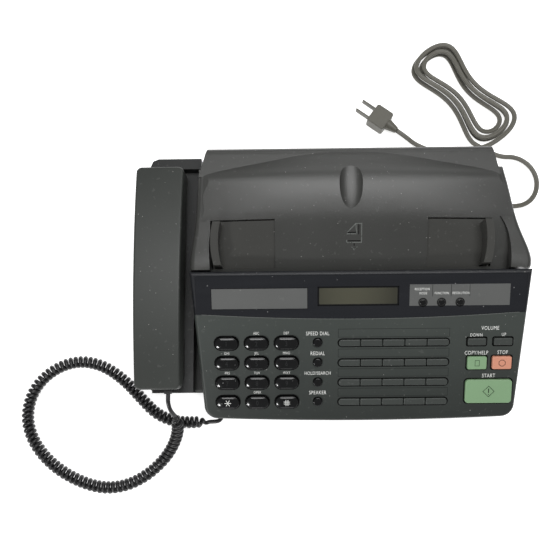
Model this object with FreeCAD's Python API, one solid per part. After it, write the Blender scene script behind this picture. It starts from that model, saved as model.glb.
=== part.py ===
import FreeCAD, Part
import math
import os

V = FreeCAD.Vector

# Desktop thermal fax machine, millimetres.
# X runs left to right, Y front to back, Z up, with the origin under the middle of the machine.

# Cabinet
body_x = 28.0
path_offset = -8.0
path_x = body_x + path_offset
wall = 3.0
floor_bottom = 5.0
base_front_y = -114.0
base_rear_y = 130.6
notch_y = 107.0
base_rim_z = 66.0
front_half = 144.0
hip_front_half = 157.0
hip_rear_half = 150.0
hip_rear_left_half = 156.0
rear_half = 146.0
tail_half = 136.2
hip_front_y = 27.0
hip_rear_y = 52.0
cover_gap = 0.6

# Operation panel, measured in its own sloping frame
panel_slope = 21.9
panel_front_y = -131.8
panel_front_z = 33.0
panel_length = 149.5
panel_front_half = 151.0
panel_rear_half = 160.7
panel_front_bow = 3.0
panel_skirt = 14.0
panel_rear_lip = 5.5
panel_plate = 2.6
panel_corner = 13.0
panel_edge_round = 3.2
panel_pin_v = 12.0
panel_pin_depth = 10.4
panel_pin_radius = 3.0
panel_lug_radius = 4.6
panel_lug_thick = 3.4
panel_lug_outer = 142.8
panel_rear_clear_y = 8.0

# Keys
key_hole_play = 0.5
key_flange_rim = 1.1
key_flange_thick = 1.7
key_flange_gap = 0.3
key_edge_round = 0.9
dial_key_width = 21.8
dial_key_height = 12.2
dial_key_corner = 5.9
dial_key_rise = 3.0
dial_first_u = -127.5
dial_pitch_u = 28.65
row_first_v = 80.3
row_pitch_v = 19.8
round_key_u = -40.3
round_key_radius = 4.2
round_key_rise = 2.2
memory_first_u = -20.45
memory_pitch_u = 21.1
memory_key_width = 20.4
memory_key_height = 6.4
memory_key_corner = 0.8
memory_end_round = 3.1
memory_key_rise = 1.4
memory_key_drop = 0.5
memory_keys_per_row = 5
side_key_width = 18.4
side_key_height = 12.6
side_key_corner = 1.6
side_key_rise = 2.6
copy_key_u = 111.9
stop_key_u = 135.6
side_key_v = 59.1
start_key_u = 124.1
start_key_v = 30.4
start_key_width = 44.6
start_key_height = 23.6
start_key_corner = 3.4
start_flange_thick = 1.2
mode_key_first_u = 58.9
mode_key_pitch_u = 17.45
mode_key_v = 118.7
mode_key_radius = 3.1
mode_key_rise = 1.4
volume_key_u = 123.5
volume_key_v = 80.0
volume_key_spread = 12.4
volume_key_width = 17.4
volume_key_height = 7.0
volume_key_corner = 1.0
volume_key_rise = 2.0
volume_pin_radius = 1.2
volume_flange_gap = 1.2
volume_flange_thick = 0.9
volume_lug_drop = 1.9
board_depth = 6.3
board_thick = 1.6
board_margin = 17.0
board_boss_radius = 2.5

# Display strip
bezel_half = 155.5
bezel_low_v = 109.3
bezel_mid_v = 103.6
bezel_high_v = 145.8
bezel_thick = 1.2
bezel_play = 0.15
display_u = -2.0
display_v = 125.4
display_width = 74.0
display_height = 16.0
display_ledge = 2.0

# Top cover
cover_front_y = 9.6
cover_bottom_z = base_rim_z + cover_gap
cover_wall = 2.4
cover_corner = 5.0
deck_z = 96.0
deck_front_y = 98.0
deck_rear_y = base_rear_y - 2.2
deck_flare_left = 0.27
deck_flare_right = 0.2
deck_round = 8.0
deck_rear_bottom_z = 70.5
cover_pin_y = 121.0
cover_pin_z = 80.0
cover_pin_radius = 3.0
cover_lug_gap = 1.3
cover_lug_outer = tail_half - cover_wall - cover_lug_gap
cover_lug_thick = 6.0
cover_lug_clear = 6.6
pin_play = 0.06
scoop_y = 88.0
scoop_length = 56.0
scoop_width = 22.0
scoop_depth = 5.2
scoop_tilt = 7.0
scoop_rise = 0.6

# Document guides with their rack and pinion
guide_inner_half = 122.5
guide_travel = 34.0
guide_plate_inner = 67.0
guide_window_inner = 72.0
guide_window_outer = 133.3
guide_front_y = 13.5
guide_rear_y = 56.0
guide_side_play = 0.6
guide_plate_thick = 1.6
guide_skin_gap = 0.4
guide_fin_thick = 7.2
guide_fin_rear_y = 52.0
guide_fin_height = 15.0
guide_fin_bow = 2.5
rack_module = 1.0
pinion_teeth = 16
pinion_y = 37.0
pinion_bore_radius = 2.5
rack_bottom_z = 60.0
rack_thick = 4.0
rack_back = 2.6
tooth_play = 0.3

# Cradle and handset
cradle_left_x = -178.0
cradle_right_x = -134.4
cradle_front_y = -103.0
cradle_seam_z = 22.0
cradle_corner = 8.0
cradle_lip_z = 60.0
cradle_lip_gap = 2.6
handset_x = -164.4
handset_front_y = -99.0
handset_base_z = 35.0
handset_slope = 3.0
handset_length = 216.0
handset_mouth_half = 21.6
handset_ear_half = 23.4
handset_corner = 5.5
handset_round = 2.2
handset_crest = 43.0
handset_mouth_top = 32.0
handset_ear_top = 34.0
handset_split = 20.0
handset_pocket = 2.0
handset_play = 0.8
handset_rest_gap = 0.25
cup_length = 50.0
cup_half = 20.6
cup_corner = 9.0
grip_bottom = 12.0
hook_length = 10.0
hook_width = 7.0
hook_play = 0.3
hook_travel = 4.0

# Rollers, roll and drive
frame_half = 122.0
frame_thick = 3.0
shaft_radius = 3.0
platen_y = 34.0
platen_z = 40.0
platen_radius = 9.0
feed_y = -14.0
feed_z = 40.0
feed_radius = 8.0
roller_half = 109.0
roll_y = 84.0
roll_z = 50.0
roll_radius = 27.0
roll_core_radius = 9.0
spindle_radius = 4.0
spindle_play = 0.08
gear_module = 1.25
gear_width = 6.0
gear_side_gap = 2.0
motor_teeth = 14
idler_teeth = 20
roller_teeth = 22
gear_centre_play = 0.12
motor_heading = -30.0
motor_radius = 9.4
motor_length = 26.0
head_thick = 6.0

# Handset lead
curl_wire = 3.2
curl_mean_radius = 4.7
cord_plug_side = 6.6
cord_plug_reach = 4.5
cord_plug_depth = 8.0
cord_plug_play = 0.15
handset_plug_offset = 8.0
handset_plug_height = 16.5
base_plug_x = -108.0
base_plug_z = 11.0
lead_stub = 4.0
handset_lead = [
    V(-155.0, -120.0, 46.0),
    V(-150.5, -127.0, 36.0),
    V(-150.0, -139.0, 25.0),
    V(-156.0, -154.0, 14.5),
    V(-167.0, -169.5, 7.6),
    V(-184.0, -184.5, 6.6),
    V(-205.0, -194.5, 6.6),
    V(-229.0, -196.5, 6.6),
    V(-256.0, -188.0, 6.6),
    V(-281.0, -173.0, 6.6),
    V(-301.0, -151.0, 6.6),
    V(-310.0, -125.0, 6.6),
    V(-304.0, -97.0, 6.6),
    V(-284.0, -77.0, 6.6),
    V(-258.0, -68.5, 6.6),
    V(-232.0, -74.0, 6.6),
    V(-209.0, -90.0, 6.6),
    V(-192.0, -108.0, 6.6),
    V(-176.0, -124.0, 6.6),
    V(-157.0, -131.5, 6.6),
    V(-138.0, -132.5, 6.6),
    V(-121.0, -132.0, 8.0),
    V(-111.0, -131.5, 10.0),
]
lead_plain_start = 24.0
lead_plain_end = 22.0
curl_fade = 16.0
curl_pitch = 4.9
curl_loose_pitch = 13.0

# Mains lead
mains_diameter = 5.2
mains_y = 92.0
mains_z = 10.0
gland_length = 20.0
gland_radius = 6.0
gland_seat = 1.8
hank_centre = V(157.8, 225.6, 0)
hank_heading = 128.0
hank_half_length = 66.0
hank_waist = 18.5
hank_swell = 44.0
hank_step = 6.4
hank_swell_step = 8.6
hank_loops = 4
hank_low_z = 2.7
hank_high_z = 8.9
hank_entry_turn = 0.62
hank_steps_per_loop = 16
mains_entry = [
    V(204.0, 92.0, 10.0),
    V(216.1, 94.6, 7.6),
    V(226.2, 101.9, 4.6),
    V(232.4, 112.6, 2.9),
    V(233.7, 124.9, 2.7),
    V(229.8, 136.7, 2.7),
    V(221.5, 145.9, 2.7),
    V(210.2, 151.0, 2.7),
    V(197.2, 151.0, 2.7),
]
mains_entry_last_run = 18.0
mains_exit_first_run = 12.0
mains_exit = [
    V(174.4, 159.4, 9.2),
    V(156.8, 155.7, 8.0),
    V(136.8, 155.7, 4.2),
    V(117.2, 159.9, 2.8),
    V(100.9, 167.5, 3.8),
]
mains_exit_last_run = 12.0
plug_face = V(81.7, 181.9, 7.2)
plug_heading = 143.0
plug_length = 33.0
plug_width = 23.0
plug_height = 14.0
plug_neck = 12.0
blade_length = 17.0
blade_width = 6.4
blade_thick = 1.5
blade_spacing = 12.7

# Small fittings
foot_radius = 8.0
foot_recess = 1.5
screw_head_radius = 3.2
screw_head_height = 2.0
screw_shank_radius = 1.5
screw_shank_length = 7.0
post_radius = 4.0
speaker_radius = 25.0
speaker_height = 11.0
speaker_x = 108.0
speaker_y = -78.0
logic_board_z = 14.0
jack_width = 34.0
jack_height = 16.0
jack_depth = 15.0
jack_x = 78.0
slot_half = 112.0
exit_slot_low = 9.0
exit_slot_high = 16.0


def block(x0, x1, y0, y1, z0, z1):
    """A box between two corners."""
    return Part.makeBox(x1 - x0, y1 - y0, z1 - z0, V(x0, y0, z0))


def rod_x(x0, x1, y, z, radius):
    """A round bar along X."""
    return Part.makeCylinder(radius, x1 - x0, V(x0, y, z), V(1, 0, 0))


def rod_z(x, y, z0, z1, radius):
    """A round bar along Z."""
    return Part.makeCylinder(radius, z1 - z0, V(x, y, z0), V(0, 0, 1))


def joined(shapes):
    """One solid out of touching or crossing solids."""
    whole = shapes[0]
    for shape in shapes[1:]:
        whole = whole.fuse(shape)
    return whole.removeSplitter()


def prism(points, depth):
    """A straight-sided column over a closed outline."""
    return Part.Face(Part.makePolygon(points + [points[0]])).extrude(depth)


def rounded_wire(width, height, corner, z):
    """A rounded rectangle about the origin, at one height."""
    a = width / 2
    b = height / 2
    r = min(corner, a - 0.05, b - 0.05)
    q = r * (1 - math.sqrt(0.5))
    edges = [
        Part.makeLine(V(-a + r, -b, z), V(a - r, -b, z)),
        Part.Arc(V(a - r, -b, z), V(a - q, -b + q, z), V(a, -b + r, z)).toShape(),
        Part.makeLine(V(a, -b + r, z), V(a, b - r, z)),
        Part.Arc(V(a, b - r, z), V(a - q, b - q, z), V(a - r, b, z)).toShape(),
        Part.makeLine(V(a - r, b, z), V(-a + r, b, z)),
        Part.Arc(V(-a + r, b, z), V(-a + q, b - q, z), V(-a, b - r, z)).toShape(),
        Part.makeLine(V(-a, b - r, z), V(-a, -b + r, z)),
        Part.Arc(V(-a, -b + r, z), V(-a + q, -b + q, z), V(-a + r, -b, z)).toShape(),
    ]
    return Part.Wire(edges)


def rounded_block(u, v, width, height, corner, low, high):
    """A rounded-rectangle column centred on u, v."""
    column = Part.Face(rounded_wire(width, height, corner, low)).extrude(V(0, 0, high - low))
    column.translate(V(u, v, 0))
    return column


def soften_top(shape, height, radius):
    """Round the edges that lie on the flat top."""
    edges = [e for e in shape.Edges if e.BoundBox.ZMin > height - 0.001]
    return shape.makeFillet(radius, edges)


def on_panel(shape):
    """Carry a shape from the panel's own frame to the machine."""
    frame = FreeCAD.Placement(V(body_x, panel_front_y, panel_front_z),
                              FreeCAD.Rotation(V(1, 0, 0), panel_slope))
    placed = shape.copy()
    placed.Placement = frame.multiply(shape.Placement)
    return placed


def on_cradle(shape):
    """Carry a shape from the handset's own frame to the machine."""
    frame = FreeCAD.Placement(V(handset_x, handset_front_y, handset_base_z),
                              FreeCAD.Rotation(V(1, 0, 0), handset_slope))
    placed = shape.copy()
    placed.Placement = frame.multiply(shape.Placement)
    return placed


def side_corners(sign, inset):
    """Corners of the lower cabinet's right side (sign 1) or left side (sign -1), from front to back."""
    waist = hip_rear_half if sign > 0 else hip_rear_left_half
    shift = sign * path_offset
    corners = [
        (front_half - inset, base_front_y + inset),
        (hip_front_half - inset, hip_front_y),
        (waist - inset, hip_rear_y),
        (rear_half + shift - inset, notch_y - inset),
        (tail_half + shift - inset, notch_y - inset),
        (tail_half + shift - inset, base_rear_y - inset),
    ]
    return [(body_x + sign * x, y) for x, y in corners]


def body_outline(inset, z):
    """Plan of the lower cabinet, drawn in by an inset."""
    corners = side_corners(1, inset) + side_corners(-1, inset)[::-1]
    return [V(x, y, z) for x, y in corners]


def under_panel(depth):
    """Everything above the plane that lies this deep under the panel, up to the cover."""
    tall = 120.0
    reach = 2 * panel_rear_half
    local = block(-reach, reach, -tall, panel_length + tall, -depth, tall)
    return on_panel(local).common(block(-2 * reach, 2 * reach, -3 * tall, cover_front_y, -tall, 3 * tall))


def side_plate(sign):
    """One inner wall that carries the shafts."""
    x = body_x + sign * frame_half
    x0 = min(x, x + sign * frame_thick)
    low = floor_bottom + wall / 2
    plate = block(x0, x0 + frame_thick, feed_y - 22, roll_y + roll_core_radius + 6, low, roll_z + 9)
    return plate


def shaft_holes():
    """Bearing holes through both inner walls."""
    far = frame_half + 2 * frame_thick
    holes = []
    for y, z, radius in (
        (platen_y, platen_z, shaft_radius + spindle_play),
        (feed_y, feed_z, shaft_radius + spindle_play),
        (roll_y, roll_z, spindle_radius + spindle_play),
    ):
        holes.append(rod_x(body_x - far, body_x + far, y, z, radius))
    return holes


def screw_places():
    """Where the bottom screws stand."""
    reach_x = front_half - 22
    front = base_front_y + 20
    rear = notch_y - 12
    return [(body_x + sx * reach_x, y) for sx in (-1, 1) for y in (front, rear)]


def foot_places():
    """Where the rubber feet stand."""
    reach_x = front_half - 42
    front = base_front_y + 16
    rear = notch_y + 8
    return [(body_x + sx * reach_x, y) for sx in (-1, 1) for y in (front, rear)]


def base_tray():
    """Lower cabinet: floor, walls, inner walls, hinge ears and the low tray under the cradle."""
    top = base_rim_z - floor_bottom
    shell = prism(body_outline(0, floor_bottom), V(0, 0, top))
    hollow = prism(body_outline(wall, floor_bottom + wall), V(0, 0, top))
    annex_right = body_x - front_half + wall
    annex = block(cradle_left_x, annex_right, cradle_front_y, base_rear_y, floor_bottom, cradle_seam_z)
    annex = annex.cut(
        block(
            cradle_left_x + wall,
            annex_right + wall,
            cradle_front_y + wall,
            base_rear_y - wall,
            floor_bottom + wall,
            cradle_seam_z + wall,
        )
    )
    annex = annex.cut(prism(body_outline(wall, 0), V(0, 0, base_rim_z)))
    tray = shell.cut(hollow)
    tray = tray.cut(under_panel(panel_skirt + cover_gap))
    tray = joined([tray, annex])
    pieces = [tray]
    for sign in (-1, 1):
        pieces.append(side_plate(sign))
        pieces.append(cover_lug(sign))
        pieces.append(panel_lug(sign))
    for x, y in screw_places():
        pieces.append(rod_z(x, y, floor_bottom, floor_bottom + screw_head_height + screw_shank_length + 2,
                            post_radius))
    for x, y in board_post_places():
        pieces.append(rod_z(x, y, floor_bottom, logic_board_z, post_radius))
    pieces.append(idler_pin())
    tray = joined(pieces)
    cuts = shaft_holes()
    for x, y in screw_places():
        cuts.append(rod_z(x, y, floor_bottom - 1, floor_bottom + screw_head_height,
                          screw_head_radius + hook_play))
        cuts.append(rod_z(x, y, floor_bottom, floor_bottom + screw_head_height + screw_shank_length,
                          screw_shank_radius))
    for x, y in foot_places():
        cuts.append(rod_z(x, y, floor_bottom - 1, floor_bottom + foot_recess, foot_radius))
    cuts.append(block(body_x - slot_half, body_x + slot_half, base_front_y - 1, base_front_y + 2 * wall,
                      exit_slot_low, exit_slot_high))
    cuts.append(jack_block(hook_play))
    cuts.append(gland_stem(0))
    cuts.append(base_plug_socket())
    cuts.append(motor_boss_hole())
    for row in range(-2, 3):
        for column in range(-2, 3):
            x = speaker_x + 7.0 * column
            y = speaker_y + 7.0 * row
            cuts.append(rod_z(x, y, floor_bottom - 1, floor_bottom + 2 * wall, 1.5))
    for cut in cuts:
        tray = tray.cut(cut)
    return tray


def cover_lug(sign):
    """Upright at the back that holds one of the cover's pins."""
    x = path_x + sign * (cover_lug_outer - cover_lug_thick / 2)
    half = cover_lug_thick / 2
    reach = 6.0
    column = block(x - half, x + half, cover_pin_y - reach, cover_pin_y + reach, floor_bottom + wall / 2,
                   cover_pin_z)
    head = rod_x(x - half, x + half, cover_pin_y, cover_pin_z, reach)
    hole = rod_x(x - 2 * half, x + 2 * half, cover_pin_y, cover_pin_z, cover_pin_radius + pin_play)
    return joined([column, head]).cut(hole)


def panel_pin_half():
    """Half the distance between the panel's side skirts, where its pins stand."""
    share = panel_pin_v / panel_length
    return panel_front_half + (panel_rear_half - panel_front_half) * share - panel_plate


def panel_lug(sign):
    """Lug at the front of the base that holds one of the panel's pins."""
    u0 = min(sign * panel_lug_outer, sign * (panel_lug_outer - panel_lug_thick))
    u1 = u0 + panel_lug_thick
    head = rod_x(u0, u1, panel_pin_v, -panel_pin_depth, panel_lug_radius)
    web_front = panel_pin_v + panel_pin_radius / 2
    web = block(u0, u1, web_front, panel_pin_v + panel_lug_radius, -2 * panel_skirt, -panel_pin_depth)
    hole = rod_x(u0 - 1, u1 + 1, panel_pin_v, -panel_pin_depth, panel_pin_radius + pin_play)
    return on_panel(joined([head, web]).cut(hole))


def board_post_places():
    """Where the posts of the main board stand."""
    return [(body_x + x, y) for x in (-95.0, -15.0) for y in (-92.0, -52.0)]


def panel_plan(inset, low, high):
    """Plan of the panel: a trapezoid with a bowed front and rounded front corners."""
    a = panel_front_half - inset
    b = panel_rear_half - inset
    front = inset
    rear = panel_length - inset
    r = max(panel_corner - inset, 1.0)
    q = r * (1 - math.sqrt(0.5))
    bow = panel_front_bow
    edges = [
        Part.Arc(V(-a + r, front + bow, low), V(0, front, low), V(a - r, front + bow, low)).toShape(),
        Part.Arc(V(a - r, front + bow, low), V(a - q, front + bow + q, low),
                 V(a, front + bow + r, low)).toShape(),
        Part.makeLine(V(a, front + bow + r, low), V(b, rear, low)),
        Part.makeLine(V(b, rear, low), V(-b, rear, low)),
        Part.makeLine(V(-b, rear, low), V(-a, front + bow + r, low)),
        Part.Arc(V(-a, front + bow + r, low), V(-a + q, front + bow + q, low),
                 V(-a + r, front + bow, low)).toShape(),
    ]
    return Part.Face(Part.Wire(edges)).extrude(V(0, 0, high - low))


def bezel_plate(play, low, high):
    """Display strip with its bowed lower edge."""
    a = bezel_half - play
    low_v = bezel_low_v + play
    edges = [
        Part.Arc(V(-a, low_v, low), V(0, bezel_mid_v + play, low), V(a, low_v, low)).toShape(),
        Part.makeLine(V(a, low_v, low), V(a, bezel_high_v - play, low)),
        Part.makeLine(V(a, bezel_high_v - play, low), V(-a, bezel_high_v - play, low)),
        Part.makeLine(V(-a, bezel_high_v - play, low), V(-a, low_v, low)),
    ]
    return Part.Face(Part.Wire(edges)).extrude(V(0, 0, high - low))


class Key:
    """One press key of the panel, in the panel's own frame."""

    def __init__(self, u, v, width, height, corner, rise, gap=key_flange_gap, thick=key_flange_thick):
        self.u = u
        self.v = v
        self.width = width
        self.height = height
        self.corner = corner
        self.rise = rise
        self.gap = gap
        self.thick = thick

    def flange_top(self):
        """Height of the flange that stops the key under the plate."""
        return -panel_plate - self.gap

    def solid(self):
        """Cap and flange in one piece."""
        cap = rounded_block(0, 0, self.width, self.height, self.corner, self.flange_top(), self.rise)
        cap = soften_top(cap, self.rise, min(key_edge_round, self.rise * 0.6))
        rim = 2 * key_flange_rim
        low = self.flange_top() - self.thick
        flange = rounded_block(0, 0, self.width + rim, self.height + rim, self.corner, low, self.flange_top())
        whole = joined([cap, flange])
        whole.translate(V(self.u, self.v, 0))
        return whole

    def hole(self):
        """Clear way through the plate."""
        play = 2 * key_hole_play
        return rounded_block(self.u, self.v, self.width + play, self.height + play, self.corner,
                             -2 * panel_plate,
                             2 * panel_plate)


def round_key(u, v, radius, rise):
    """A key with a round cap."""
    return Key(u, v, 2 * radius, 2 * radius, radius, rise)


def row_v(row):
    """Height of a key row on the panel."""
    return row_first_v - row * row_pitch_v


def dial_keys():
    """Twelve dialling keys, by name."""
    names = ["1", "2", "3", "4", "5", "6", "7", "8", "9", "star", "0", "hash"]
    keys = {}
    for index, name in enumerate(names):
        u = dial_first_u + dial_pitch_u * (index % 3)
        keys["dial_key_" + name] = Key(u, row_v(index // 3), dial_key_width, dial_key_height, dial_key_corner,
                                       dial_key_rise)
    return keys


def function_keys():
    """Four small round keys beside the dial, by name."""
    names = ["memory_key", "redial_key", "hold_key", "speaker_key"]
    return {
        name: round_key(round_key_u, row_v(row), round_key_radius, round_key_rise)
        for row, name in enumerate(names)
    }


def mode_keys():
    """Three small round keys under the display strip, by name."""
    names = ["mode_key", "menu_key", "fine_key"]
    return {
        name: round_key(mode_key_first_u + mode_key_pitch_u * i, mode_key_v, mode_key_radius, mode_key_rise)
        for i, name in enumerate(names)
    }


def side_keys():
    """Copy, stop and start keys, by name."""
    return {
        "copy_key": Key(copy_key_u, side_key_v, side_key_width, side_key_height, side_key_corner,
                        side_key_rise),
        "stop_key": Key(stop_key_u, side_key_v, side_key_width, side_key_height, side_key_corner,
                        side_key_rise),
        "start_key": Key(start_key_u, start_key_v, start_key_width, start_key_height, start_key_corner,
                         side_key_rise, thick=start_flange_thick),
    }


def memory_row(row):
    """The one-touch keys of one row."""
    keys = []
    for i in range(memory_keys_per_row):
        u = memory_first_u + memory_pitch_u * (i + 0.5)
        keys.append(Key(u, row_v(row) - memory_key_drop, memory_key_width, memory_key_height,
                        memory_key_corner,
                        memory_key_rise))
    return keys


def memory_row_block(row, grow, low, high):
    """Rounded outline of a whole one-touch row, grown all round."""
    keys = memory_row(row)
    span = keys[-1].u - keys[0].u + memory_key_width
    middle = (keys[0].u + keys[-1].u) / 2
    return rounded_block(middle, keys[0].v, span + 2 * grow, memory_key_height + 2 * grow,
                         memory_end_round + grow, low, high)


def memory_row_solid(row):
    """Caps of one row on the rail that ties them together under the plate."""
    keys = memory_row(row)
    top = keys[0].flange_top()
    outline = memory_row_block(row, 0, top, 2 * memory_key_rise)
    caps = [key.solid().common(outline) for key in keys]
    rail = memory_row_block(row, key_flange_rim, top - key_flange_thick, top)
    return joined([rail] + caps)


def volume_key_caps():
    """The two caps of the volume rocker."""
    return [
        Key(volume_key_u + sign * volume_key_spread, volume_key_v, volume_key_width, volume_key_height,
            volume_key_corner, volume_key_rise, volume_flange_gap, volume_flange_thick)
        for sign in (-1, 1)
    ]


def volume_pin_w():
    """Depth of the rocker's pin under the panel's face."""
    return -panel_plate - volume_flange_gap - volume_flange_thick / 2


def volume_rocker():
    """Two caps on one bar with a cross pin."""
    caps = volume_key_caps()
    low = caps[0].flange_top() - volume_flange_thick
    half = volume_key_height / 2 + key_flange_rim
    bar = block(caps[0].u, caps[1].u, volume_key_v - half, volume_key_v + half, low, caps[0].flange_top())
    pin_half = half + 4.0
    pin_end = V(volume_key_u, volume_key_v - pin_half, volume_pin_w())
    pin = Part.makeCylinder(volume_pin_radius, 2 * pin_half, pin_end, V(0, 1, 0))
    return joined([bar, pin] + [cap.solid() for cap in caps])


def volume_lugs():
    """Two small lugs under the plate that hold the rocker's pin."""
    lugs = []
    half = volume_key_height / 2 + key_flange_rim + 0.6
    for sign in (-1, 1):
        v0 = min(volume_key_v + sign * half, volume_key_v + sign * (half + 2.4))
        lug = block(volume_key_u - 3, volume_key_u + 3, v0, v0 + 2.4, volume_pin_w() - volume_lug_drop,
                    -panel_plate / 2)
        hole = Part.makeCylinder(volume_pin_radius + pin_play, 8, V(volume_key_u, v0 - 2, volume_pin_w()),
                                 V(0, 1, 0))
        lugs.append(lug.cut(hole))
    return lugs


def all_keys():
    """Every single key of the panel, by name."""
    keys = {}
    for group in (dial_keys(), function_keys(), mode_keys(), side_keys()):
        keys.update(group)
    return keys


def board_boss_places():
    """Where the key board is held under the panel."""
    left = dial_first_u + 1.5 * dial_pitch_u
    right = (memory_first_u + memory_pitch_u * memory_keys_per_row + copy_key_u - side_key_width / 2) / 2
    return [(u, row_v(row)) for u in (left, right) for row in (0.5, 2.5)]


def panel_housing():
    """Operation panel: plate with skirts, key holes, strip pocket and hinge pins."""
    outer = soften_top(panel_plan(0, -panel_skirt, 0), 0, panel_edge_round)
    inner = panel_plan(panel_plate, -2 * panel_skirt, -panel_plate)
    shell = outer.cut(inner)
    reach = panel_rear_half - 3 * panel_plate
    shell = shell.cut(block(-reach, reach, panel_length - 3 * panel_plate, panel_length + 1, -2 * panel_skirt,
                            -panel_rear_lip))
    for key in all_keys().values():
        shell = shell.cut(key.hole())
    for row in range(4):
        shell = shell.cut(memory_row_block(row, key_hole_play, -2 * panel_plate, 2 * panel_plate))
    for cap in volume_key_caps():
        shell = shell.cut(cap.hole())
    shell = shell.cut(bezel_plate(0, -bezel_thick, panel_plate))
    shell = shell.cut(rounded_block(display_u, display_v, display_width - 2 * display_ledge,
                                    display_height - 2 * display_ledge, 1.0, -2 * panel_plate, panel_plate))
    pieces = [shell] + volume_lugs()
    for u, v in board_boss_places():
        pieces.append(rod_z(u, v, -board_depth, -panel_plate / 2, board_boss_radius))
    pin_root = panel_pin_half() + panel_plate / 2
    pin_tip = panel_lug_outer - panel_lug_thick - 1
    for sign in (-1, 1):
        u0 = min(sign * pin_root, sign * pin_tip)
        pieces.append(rod_x(u0, u0 + pin_root - pin_tip, panel_pin_v, -panel_pin_depth, panel_pin_radius))
    housing = on_panel(joined(pieces))
    tall = 200.0
    return housing.cut(block(-tall - tall, tall + tall, panel_rear_clear_y, tall, -tall, tall))


def display_bezel():
    """Dark strip with openings for the display and three keys."""
    plate = bezel_plate(bezel_play, -bezel_thick, 0)
    plate = plate.cut(rounded_block(display_u, display_v, display_width, display_height, 1.0, -panel_plate,
                                    panel_plate))
    for key in mode_keys().values():
        plate = plate.cut(key.hole())
    return on_panel(plate)


def display_window():
    """Clear window of the display."""
    play = 2 * bezel_play
    return on_panel(rounded_block(display_u, display_v, display_width - play, display_height - play, 1.0,
                                  -bezel_thick,
                                  -0.3))


def panel_board():
    """Key board with the display module."""
    front = board_margin
    rear = panel_length - board_margin + 3
    half = panel_front_half - board_margin
    plate = block(-half, half, front, rear, -board_depth - board_thick, -board_depth)
    module = block(display_u - display_width / 2, display_u + display_width / 2,
                   display_v - display_height / 2,
                   display_v + display_height / 2, -board_depth, -panel_plate - key_flange_gap)
    return on_panel(joined([plate, module]))


def cover_section(y, left, right, side_z, mid_z, bottom_z, corner):
    """One crowned cross-section of the cover, reaching left and right of the cabinet's middle."""
    r = corner
    q = r * (1 - math.sqrt(0.5))

    def at(x, z):
        return V(body_x + x, y, z)

    edges = [
        Part.makeLine(at(-left, bottom_z), at(right, bottom_z)),
        Part.makeLine(at(right, bottom_z), at(right, side_z - r)),
        Part.Arc(at(right, side_z - r), at(right - q, side_z - q), at(right - r, side_z)).toShape(),
        Part.Arc(at(right - r, side_z), at((right - left) / 2, mid_z), at(-left + r, side_z)).toShape(),
        Part.Arc(at(-left + r, side_z), at(-left + q, side_z - q), at(-left, side_z - r)).toShape(),
        Part.makeLine(at(-left, side_z - r), at(-left, bottom_z)),
    ]
    return Part.Wire(edges)


# Stations of the cover from the feed slot to the back: place, reach left and right, side and middle height
cover_stations = [
    (cover_front_y, 160.0, 160.0, 87.0, 90.0),
    (hip_front_y + 3, 159.4, 158.6, 88.0, 95.0),
    (hip_rear_y + 2, 156.0, 150.5, 89.0, 98.5),
    (82.0, 153.8, 143.5, 94.0, 111.0),
    (notch_y, 152.6, 138.0, 96.0, 113.0),
    (base_rear_y - 7, 152.0, 137.0, 96.0, 112.0),
]
# Stations of the dome, which runs down to the document tray: place, side and middle height
tray_half = 165.0
tray_sections = 14
tray_stations = [
    (cover_front_y - 3, 72.0, 73.5),
    (24.0, 77.5, 81.5),
    (42.0, 83.0, 89.5),
    (58.0, 87.0, 96.5),
    (80.0, 90.5, 102.5),
    (96.0, 93.3, 104.3),
    (104.5, 90.2, 102.5),
    (113.7, 82.0, 99.5),
    (120.5, 76.5, 96.4),
    (124.5, 72.0, 93.5),
]
# Inner edges of the ears from the slot to the back: distance from the middle of the document path, and place
ear_edges = {
    -1: [(134.0, cover_front_y - 6), (134.2, 28.0), (133.6, 42.0), (131.5, 50.0), (127.5, 56.0)],
    1: [(148.3, cover_front_y - 6), (149.4, 28.0), (147.5, 45.0), (141.0, 58.0)],
}


def tray_height(column, y):
    """Height of the dome and the document tray at one place: column 1 at the sides, 2 in the middle."""
    last = len(tray_stations) - 1
    i = 0
    while i < last - 1 and y > tray_stations[i + 1][0]:
        i += 1

    def slope(k):
        before = tray_stations[max(k - 1, 0)]
        after = tray_stations[min(k + 1, last)]
        return (after[column] - before[column]) / (after[0] - before[0])

    low, high = tray_stations[i], tray_stations[i + 1]
    span = high[0] - low[0]
    s = (y - low[0]) / span
    rise = s * s * (3 - 2 * s)
    bend = slope(i) * s * (1 - s) ** 2 - slope(i + 1) * s * s * (1 - s)
    return low[column] * (1 - rise) + high[column] * rise + span * bend


def ear_room(sign, grow):
    """Space over one ear, drawn back from the tray all round."""
    far = 2 * panel_rear_half
    points = [V(path_x + sign * x, y, 0) for x, y in ear_edges[sign]]
    edge = Part.BSplineCurve()
    edge.interpolate(points)
    first, last = points[0], points[-1]
    outer_first = V(sign * far, first.y, 0)
    outer_last = V(sign * far, last.y, 0)
    lines = [Part.makeLine(last, outer_last), Part.makeLine(outer_last, outer_first),
             Part.makeLine(outer_first, first)]
    room = Part.Face(Part.Wire([edge.toShape()] + lines)).extrude(V(0, 0, far))
    room.translate(V(sign * grow, -grow, 0))
    return room


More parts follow.
